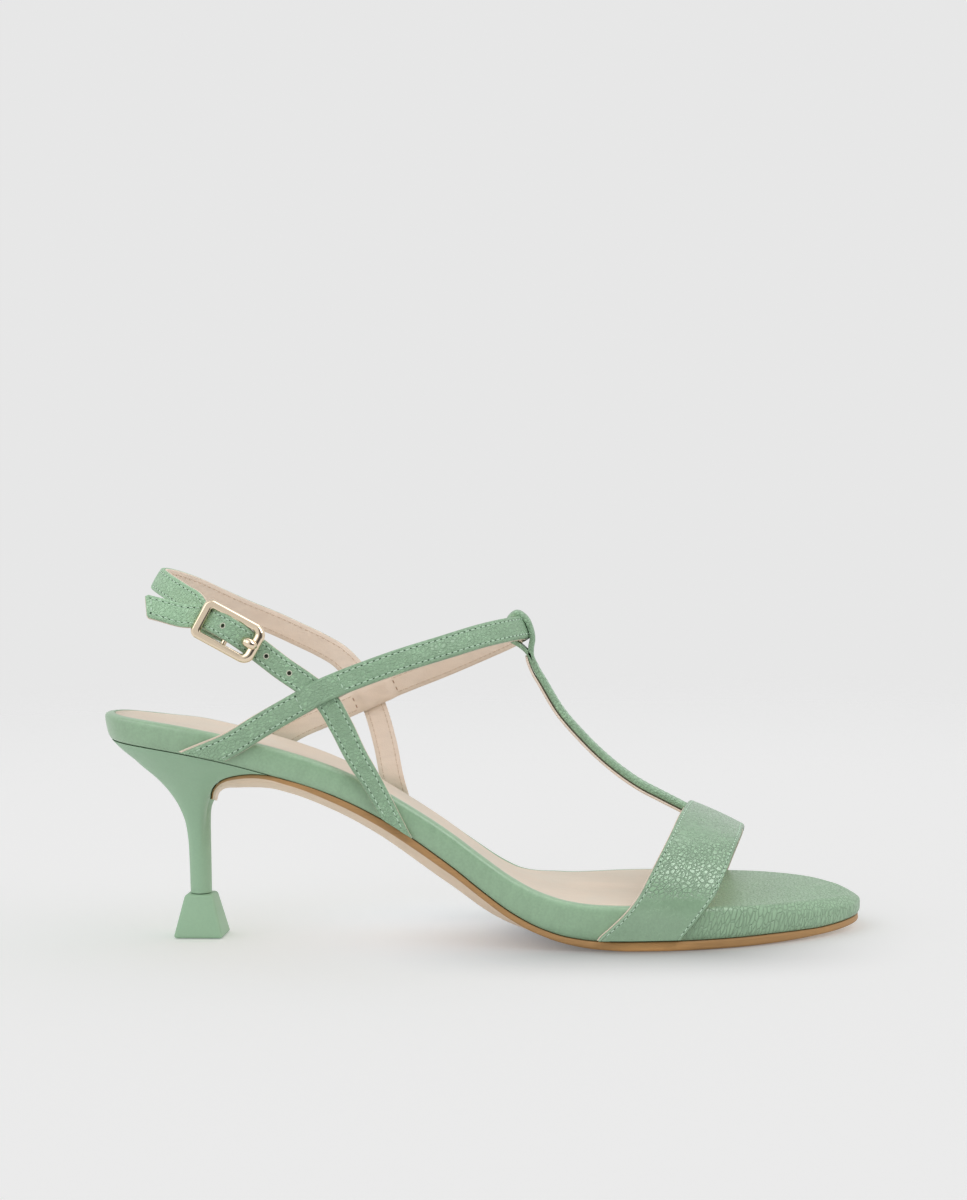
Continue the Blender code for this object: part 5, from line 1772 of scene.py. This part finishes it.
@dataclass
class Straps:
    """Toe band, T-bar, instep strap and ankle strap with their linings and stitches."""

    plan: SolePlan
    buckle: Buckle
    outside: Sewing = field(default_factory=Sewing)
    inside: Sewing = field(
        default_factory=lambda: Sewing(stitch_radius=0.13, stitch_length=1.2, hole_radius=0.2))
    tunnel_ends: Sewing = field(
        default_factory=lambda: Sewing(stitch_radius=0.17, hole_radius=0.25))
    band_thickness: float = 2.2
    band_inside: Triple = (170.0, 0.0, 10.0)
    band_ends: Pair = (160.0, 178.0)
    instep_ends: Pair = (31.0, 41.0)
    leg_ends: Pair = (92.0, 90.5)
    tbar_bend: Pair = (80.0, 90.0)
    tbar_lining_lift: Pair = (74.0, 84.0)
    tbar_core_top: float = 78.0
    tbar_slim: Pair = (17.0, 11.0)
    tbar_tail: float = 9.0
    instep_width: float = 7.2
    instep_drop: float = 0.35
    lining_proud: float = 0.5
    instep_thickness: float = 2.0
    ankle_width: float = 7.0
    back_width: float = 7.2
    ankle_thickness: float = 1.8
    tbar_width: float = 7.6
    lining_thickness: float = 0.7
    stitch_inset: float = 1.2
    stitch_rise: float = 0.07
    band_stitch_inset: float = 1.1
    band_pitch: float = 1.77
    hole_places: tuple[float, ...] = (-17.3, -8.75, 0.0, 7.2)
    hole_radius: float = 0.78
    outer_tunnel: Pair = (61.9, 73.6)
    inner_tunnel: Pair = (74.6, 87.6)
    tunnels: tuple[Triple, ...] = ((-1.8, 2.0, 0.0), (0.3, 0.95, 0.95))
    tunnel_ramp: float = 3.0
    inside_lift: float = 0.02
    back_end: tuple[Triple, ...] = ((-9.5, 0.9, -5.0), (-5.0, 0.4, -3.4), (-1.0, 0.1, -3.2))
    back_end_row: float = 8.0

    def __post_init__(self) -> None:
        """Make the shared finishes."""
        self.green = STRAP_GREEN.material("strap_leather")
        self.beige = LINING.material("strap_lining_leather")

    def rows(self, table: Table) -> list[tuple[float, ...]]:
        """Rows of place, turn and lean, with places across worked out from the board's edge."""
        made = []
        for along, side, off, up, turn, lean in table.rows:
            across = off if side == 0 else self.plan.rim_across(Side(int(side)), along) + side * off
            made.append((along, across, up, turn, lean))
        return made

    def cuts(self, places: Pair, above: float) -> list[Spot]:
        """Planes that trim a strap's outer and inner end, at places along and over the seam."""
        return [self.plan.seam_plane(side, place, above) for side, place in zip(Side, places)]

    def layers(self, thickness: float, crown: float = 0.2) -> tuple[Layer, Layer]:
        """Sections of the outer leather and of the lining of a strap."""
        split = -thickness / 2 + self.lining_thickness
        outer = Layer(split + 0.04, thickness / 2, crown=crown, stitch_inset=self.stitch_inset, channel=0.12)
        inner = Layer(-thickness / 2, split - 0.04, inset=-0.08, soft=0.2, columns=3)
        return outer, inner

    def edge_line(self, strip: Strip, run: Pair, sign: int, lift: float) -> list[Spot]:
        """Line for a row of stitches along one edge of a strap, between two lengths along, at a height."""
        arcs = np.linspace(*run, max(2, int(abs(run[1] - run[0]) / 0.8)))
        return [strip.spot(a, sign * (strip.half_at(a) - self.stitch_inset), lift) for a in arcs]

    def cross_line(self, strip: Strip, arc: float, layer: Layer) -> list[Spot]:
        """Line across a strap's face for a row of stitches."""
        half = strip.half_at(arc)
        places = np.linspace(-1, 1, 7) * (half - self.stitch_inset)
        return [strip.spot(arc, a, layer.face(half, a) + self.inside_lift) for a in places]

    def sew(self, strip: Strip, layer: Layer, spans: Sequence[Pair], crossings: Sequence[float],
            planes: Sequence[Spot]) -> None:
        """Sew both edges of a strap, outside and inside.

        Args:
            strip: the strap's course.
            layer: its outer layer.
            spans: lengths along between which the edge rows run.
            crossings: lengths along of rows across the strap.
            planes: points and normals of the planes that trim the strap.
        """
        high = layer.stitch_lift(strip.half_at(strip.length / 2)) + self.stitch_rise
        low = -layer.high - self.inside_lift
        for run in spans:
            for sign in (-1, 1):
                self.outside.row(self.edge_line(strip, run, sign, high), planes)
                self.inside.row([(p, -o) for p, o in self.edge_line(strip, run, sign, low)], planes)
        for arc in crossings:
            self.outside.row(self.cross_line(strip, arc, layer))

    def lay(self, name: str, tube: Array, material: Material, planes: Sequence[Spot] = (),
            punched: Strip | None = None) -> None:
        """Make one layer of a strap, trim its ends and dress it.

        Args:
            name: the layer's name.
            tube: its closed sections.
            material: its finish.
            planes: points and normals of the planes that trim it.
            punched: the strap's course, if it has punched holes.
        """
        obj = Workshop.grid(name, tube)
        for plane in planes:
            Workshop.trim(obj, *plane)
        if punched is not None:
            self.punch(obj, punched)
        dress(obj, material, "upper", 50)

    def make_band(self) -> None:
        """Wide band over the toes, its lining a little proud of the rear edge."""
        rows = TOE_BAND.rows
        middle = (rows[:, :3] + rows[:, 3:]) / 2
        path = smooth_path(np.column_stack([middle, rows]), 0.9)
        rear, front = path[:, 3:6], path[:, 6:9]
        out = np.cross(np.gradient(path[:, :3], axis=0), front - rear)
        away = path[:, :3] - np.array(self.band_inside)
        out = unit(out * np.sign(np.sum(out * away, axis=1))[:, None])
        strip = Strip(rear, front, out)
        half = self.band_thickness / 2
        leather = Layer(-half + 0.84, half, crown=0.35, stitch_inset=self.band_stitch_inset, channel=0.14,
                        columns=14, soft=0.6)
        lining = Layer(-half, -half + 0.76, inset=-0.02, rear_extra=0.3, soft=0.2, columns=6)
        planes = self.cuts(self.band_ends, 0.8)
        self.lay("toe_band", strip.tube(leather), BAND_GREEN.material("band_leather"), planes)
        self.lay("toe_band_lining", strip.tube(lining), self.beige, planes)
        for sign in (-1, 1):
            line = []
            for a in np.linspace(2.0, strip.length - 2.0, 160):
                reach = strip.half_at(a)
                lift = leather.stitch_lift(reach) + self.stitch_rise
                line.append(strip.spot(a, sign * (reach - self.band_stitch_inset), lift))
            self.outside.row(line, planes, self.band_pitch)

    def make_tbar(self) -> None:
        """T-bar from under the band up to the instep strap, looped round it and caught behind itself."""
        strip = Strip.along_rows(self.rows(TBAR), self.tbar_width, 0.7)
        bend, top = [strip.arc_at_height(up) for up in self.tbar_bend]
        looped = ease(bend, top, strip.arc)
        to_end = strip.length - strip.arc
        tail = 1 - ease(0.0, self.tbar_tail, to_end)
        slim = 1 - ease(*self.tbar_slim[::-1], to_end)
        leather = Layer(-0.45, 1.3, crown=0.25, stitch_inset=self.stitch_inset, channel=0.12)
        tube = strip.tube(leather, 0.45 * looped, 1 - 0.12 * looped - 0.2 * slim - 0.3 * tail)
        self.lay("t_bar", tube, self.green)
        lift_start, lift_end = [strip.arc_at_height(up) for up in self.tbar_lining_lift]
        back = strip.part(0.0, lift_end)
        lift = ease(lift_start, back.length, back.arc)
        lining = Layer(-1.6, -0.92, inset=-0.05, soft=0.2, columns=3)
        self.lay("t_bar_lining", back.tube(lining, -0.2 * lift), self.beige)
        # Painted shade: a dark layer between leather and lining stands for the shadow in their gap.
        core = strip.part(0.0, strip.arc_at_height(self.tbar_core_top))
        gap_shade_layer = Layer(-0.95, -0.4, inset=0.3, soft=0.1, columns=3)
        self.lay("t_bar_gap_shade", core.tube(gap_shade_layer), TBAR_GAP_SHADE.material("t_bar_gap_shade"))
        high = leather.stitch_lift(self.tbar_width / 2) + self.stitch_rise
        for sign in (-1, 1):
            self.outside.row(self.edge_line(strip, (9.0, bend + 2.0), sign, high))

    def make_instep(self) -> None:
        """Instep strap over both sides, with a tunnel on either side for the ankle strap."""
        rows = np.array(self.rows(INSTEP)) - np.array([0, 0, self.instep_drop, 0, 0])
        strip = Strip.along_rows(rows, self.instep_width, flare=(18.0, 0.0, 1.2))
        leather, lining = self.layers(self.instep_thickness, crown=0.3)
        proud = self.lining_proud * (1 - ease(8.0, 38.0, strip.arc))
        backing = Strip(strip.left, strip.right + strip.wide * proud[:, None], strip.out)
        planes = self.cuts(self.instep_ends, 0.9)
        arcs = [[strip.arc_near(a, side) for a in spots]
                for side, spots in ((Side.OUTER, self.outer_tunnel), (Side.INNER, self.inner_tunnel[::-1]))]
        dip, swell = np.zeros((2, len(strip.arc)))
        for (start, end), (margin, inward, outward) in zip(arcs, self.tunnels):
            first, last = start + margin, end - margin
            inside = ease(first, first + self.tunnel_ramp, strip.arc)
            inside = inside * (1 - ease(last - self.tunnel_ramp, last, strip.arc))
            dip += inward * inside
            swell += outward * inside
        self.lay("instep_strap", strip.tube(leather, -swell), self.green, planes)
        self.lay("instep_lining", backing.tube(lining, dip), self.beige, planes)
        spans = [(3.0, arcs[0][0]), (arcs[0][1], arcs[1][0]), (arcs[1][1], strip.length - 3.0)]
        self.sew(strip, leather, spans, [a for pair in arcs for a in pair], planes)
        top = self.instep_thickness / 2
        flat = Layer(-top, top)
        for arc in arcs[1]:
            line = [(p - 2 * top * o, -o) for p, o in self.cross_line(strip, arc, flat)]
            self.tunnel_ends.row([(p + self.inside_lift * o, o) for p, o in line])

    def make_ankle(self) -> None:
        """Outer leg with the free end woven through the buckle, and the strap round the ankle's back."""
        leather, lining = self.layers(self.ankle_thickness)
        outer_cut, inner_cut = self.cuts(self.leg_ends, FIT_GAP)
        rows = self.rows(OUTER_LEG) + self.buckle.weave() + self.rows(FREE_END)
        strip = Strip.along_rows(rows, self.ankle_width, 0.7, round_end=0.6, flare=(48.0, -0.95, -0.95),
                                 slant=0.9)
        self.lay("ankle_strap", strip.tube(leather), self.green, [outer_cut], strip)
        self.lay("ankle_lining", strip.tube(lining), self.beige, [outer_cut])
        self.sew(strip, leather, [(3.0, strip.length - 1.2)], [strip.length - 1.4], [outer_cut])
        rows = self.rows(INNER_LEG)
        for place in self.back_end:
            rows.append((*self.buckle.at(*place), 360 + self.buckle.turn, self.buckle.lean))
        strip = Strip.along_rows(rows, self.back_width)
        self.lay("ankle_back_strap", strip.tube(leather), self.green, [inner_cut])
        self.lay("ankle_back_lining", strip.tube(lining), self.beige, [inner_cut])
        last = strip.length - self.back_end_row
        self.sew(strip, leather, [(3.0, last)], [last], [inner_cut])

    def punch(self, obj: Object, strip: Strip) -> None:
        """Punch the holes of the ankle strap, with a painted shade disc inside and a painted highlight ring
        round the rim.

        Args:
            obj: the layer to punch.
            strip: the strap's course.
        """
        used = self.buckle.at(self.buckle.prong_hole_shade, 0.0, 0.0)
        start = float(strip.arc[int(np.argmin(np.linalg.norm(strip.middle - used, axis=1)))])
        shade_spots, highlight_spots = [], []
        for place in self.hole_places:
            spot, out = strip.spot(start + place, 0.0, self.ankle_thickness / 2)
            turn = Workshop.upright(out)
            Workshop.deselect()
            bpy.ops.mesh.primitive_cylinder_add(vertices=20, radius=self.hole_radius * MM, depth=2.0 * MM)
            tool = bpy.context.object
            tool.data.transform(Matrix.Translation(Workshop.place(spot)) @ turn)
            Workshop.combine(obj, tool)
            highlight_spots.append(Matrix.Translation(spot + out * 0.12) @ turn)
            shade_spots.append(Matrix.Translation(spot - out * 0.75) @ turn)
        # Pale rings on the hole rims: painted highlight.
        Workshop.deselect()
        bpy.ops.mesh.primitive_torus_add(major_segments=20, minor_segments=8, major_radius=self.hole_radius,
                                         minor_radius=0.16)
        rim = Workshop.copies("hole_rim_painted_highlights", bpy.context.object, np.array(highlight_spots))
        dress(rim, HOLE_RIM_PAINTED_HIGHLIGHT.material("hole_rim_painted_highlight"))
        # Dark discs inside the holes: painted shade.
        bpy.ops.mesh.primitive_circle_add(vertices=20, radius=self.hole_radius + 0.05, fill_type="TRIFAN")
        inside = Workshop.copies("hole_painted_shades", bpy.context.object, np.array(shade_spots))
        dress(inside, HOLE_PAINTED_SHADE.material("hole_painted_shade"))

    def build(self) -> None:
        """Build and dress all straps, then their stitches."""
        self.make_band()
        self.make_tbar()
        self.make_instep()
        self.make_ankle()
        self.outside.build("outside", GREEN_THREAD, NEEDLE_HOLE_SHADE, Slot.UPPER)
        self.inside.build("inside", BEIGE_THREAD, LINING_HOLE_SHADE, Slot.UPPER)
        self.tunnel_ends.build("tunnel_end", BROWN_THREAD, LINING_HOLE_SHADE, Slot.UPPER)


@dataclass
class Studio:
    """Pale floor, soft lights and the camera."""

    camera_place: Triple = (0.01728, -0.94888, 0.165)
    camera_target: Triple = (0.000702, 0.00098, 0.102)
    camera_roll: float = -0.7
    lens: float = 93.49
    world_light: float = 0.8
    wall_light: float = 0.78
    sky_light: float = -0.1
    shade_way: Triple = (0.3, -0.94, 0.1)
    front_shade: float = 0.7
    floor_tone: float = 0.97
    floor_glow: float = 0.16
    arch_place: Triple = (-0.015, 0.0, 0.0)
    arch_glow: Triple = (1.08, 1.2, 1.38)
    arch_reach: Pair = (0.02, 0.08)
    floor_radius: float = 6.0
    floor_fade: Pair = (0.35, 0.9)
    shade_steps: tuple[tuple[Any, ...], ...] = (
        ("SUBTRACT", (0.047, -0.01, 0.0)),
        ("ABSOLUTE",),
        ("SUBTRACT", (0.018, 0.028, 0.0)),
        ("MAXIMUM", (0.0, 0.0, 0.0)),
        ("MULTIPLY", (0.75, 1.0, 1.0)),
    )
    shade_reach: float = 0.05
    shade_depth: float = 0.4
    lamp_target: Triple = (0.0, 0.0, 0.05)
    lamps: tuple[tuple[str, Triple, Pair, float], ...] = (
        ("left", (-0.8, -0.7, 0.8), (0.8, 0.8), 2.4),
        ("right", (0.455, -0.557, 0.687), (0.5, 0.6), 3.2),
        ("top", (0.25, 0.15, 1.05), (0.5, 0.5), 1.2),
        ("side", (-1.1, 0.05, 0.62), (0.5, 0.6), 1.0),
    )

    def make_floor(self) -> Object:
        """Round floor that fades out, with a soft shade at the ball and a little more light under the arch."""
        Workshop.deselect()
        bpy.ops.mesh.primitive_circle_add(
            vertices=96, radius=self.floor_radius, fill_type="NGON", location=(0.0, 0.0, -0.0002))
        floor = bpy.context.object
        floor.name = floor.data.name = "floor"
        graph = Graph("pale_floor", Roughness=0.9, Specular_IOR_Level=0.1, Emission_Strength=self.floor_glow)
        away = place = graph.coords()
        for operation, *value in self.shade_steps:
            away = graph.vector(operation, away, *value)
        near = graph.vector("LENGTH", away).ease(-self.shade_reach, self.shade_reach)
        dark = self.shade_depth * (2 - 2 * near)
        black, white = (0.0, 0.0, 0.0), (1.0, 1.0, 1.0)
        graph.drive("Base Color", graph.blend(dark, shade(white, self.floor_tone), black))
        from_arch = graph.vector("LENGTH", graph.vector("SUBTRACT", place, self.arch_place))
        lit = graph.blend(1 - from_arch.ease(*self.arch_reach), white, self.arch_glow)
        graph.drive("Emission Color", graph.blend(dark, lit, black))
        far = graph.vector("LENGTH", place).ease(*self.floor_fade)
        solid = Signal(graph, graph.shader.outputs[0])
        clear = graph.node("ShaderNodeBsdfTransparent", {}, {})
        mix = graph.node("ShaderNodeMixShader", {}, {0: far, 1: solid, 2: clear})
        graph.feed(graph.tree.nodes["Material Output"].inputs["Surface"], mix)
        floor.data.materials.append(graph.material)
        return floor

    def make_world(self) -> None:
        """Even pale background; the light it gives is weaker from the camera's right."""
        world = bpy.data.worlds.new("studio")
        bpy.context.scene.world = world
        world.use_nodes = True
        nodes = Nodes(world.node_tree)
        way = nodes.node("ShaderNodeTexCoord", {}, {}, "Generated")
        sky = self.sky_light * nodes.component(way, "Z").ease(0.3, 1.0)
        front = nodes.vector("DOT_PRODUCT", way, self.shade_way)
        level = self.wall_light + sky - self.front_shade * front.ease(0.75, 0.95)
        seen = nodes.node("ShaderNodeLightPath", {}, {}, "Is Camera Ray")
        back = world.node_tree.nodes["Background"]
        back.inputs["Color"].default_value = (1.0, 1.0, 1.0, 1.0)
        nodes.feed(back.inputs["Strength"], level * (1 - seen) + self.world_light * seen)

    def make_lights(self, floor: Object) -> None:
        """Soft lamps on both sides, which leave the floor to the even light.

        Args:
            floor: the floor.
        """
        spared = bpy.data.collections.new("spared_by_lamps")
        spared.objects.link(floor)
        spared.collection_objects[0].light_linking.link_state = "EXCLUDE"
        for name, place, (wide, high), power in self.lamps:
            data = bpy.data.lights.new(name, "AREA")
            data.shape, data.size, data.size_y, data.energy = "RECTANGLE", wide, high, power
            lamp = bpy.data.objects.new(name, data)
            bpy.context.scene.collection.objects.link(lamp)
            lamp.location = place
            way = Vector(self.lamp_target) - Vector(place)
            lamp.rotation_euler = way.to_track_quat("-Z", "Y").to_euler()
            lamp.light_linking.receiver_collection = spared

    def make_camera(self) -> None:
        """Camera at the photograph's place, looking at the shoe's outer side."""
        data = bpy.data.cameras.new("camera")
        data.lens, data.sensor_width = self.lens, 36.0
        camera = bpy.data.objects.new("camera", data)
        bpy.context.scene.collection.objects.link(camera)
        place = Vector(self.camera_place)
        look = (Vector(self.camera_target) - place).to_track_quat("-Z", "Y")
        roll = Matrix.Rotation(math.radians(self.camera_roll), 4, "Z")
        camera.matrix_world = Matrix.Translation(place) @ look.to_matrix().to_4x4() @ roll
        bpy.context.scene.camera = camera

    def build(self) -> None:
        """Set up the studio."""
        floor = self.make_floor()
        self.make_world()
        self.make_lights(floor)
        self.make_camera()
        bpy.context.scene.view_settings.view_transform = "Standard"


def main() -> None:
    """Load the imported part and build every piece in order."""
    logging.basicConfig(level=logging.INFO, format="%(message)s")
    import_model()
    plan = SolePlan()
    buckle = Buckle()
    sole = Sole(plan)
    sole.build()
    Heel(plan, sole).build()
    Straps(plan, buckle).build()
    buckle.build()
    Studio().build()
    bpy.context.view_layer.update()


if __name__ == "__main__":
    main()
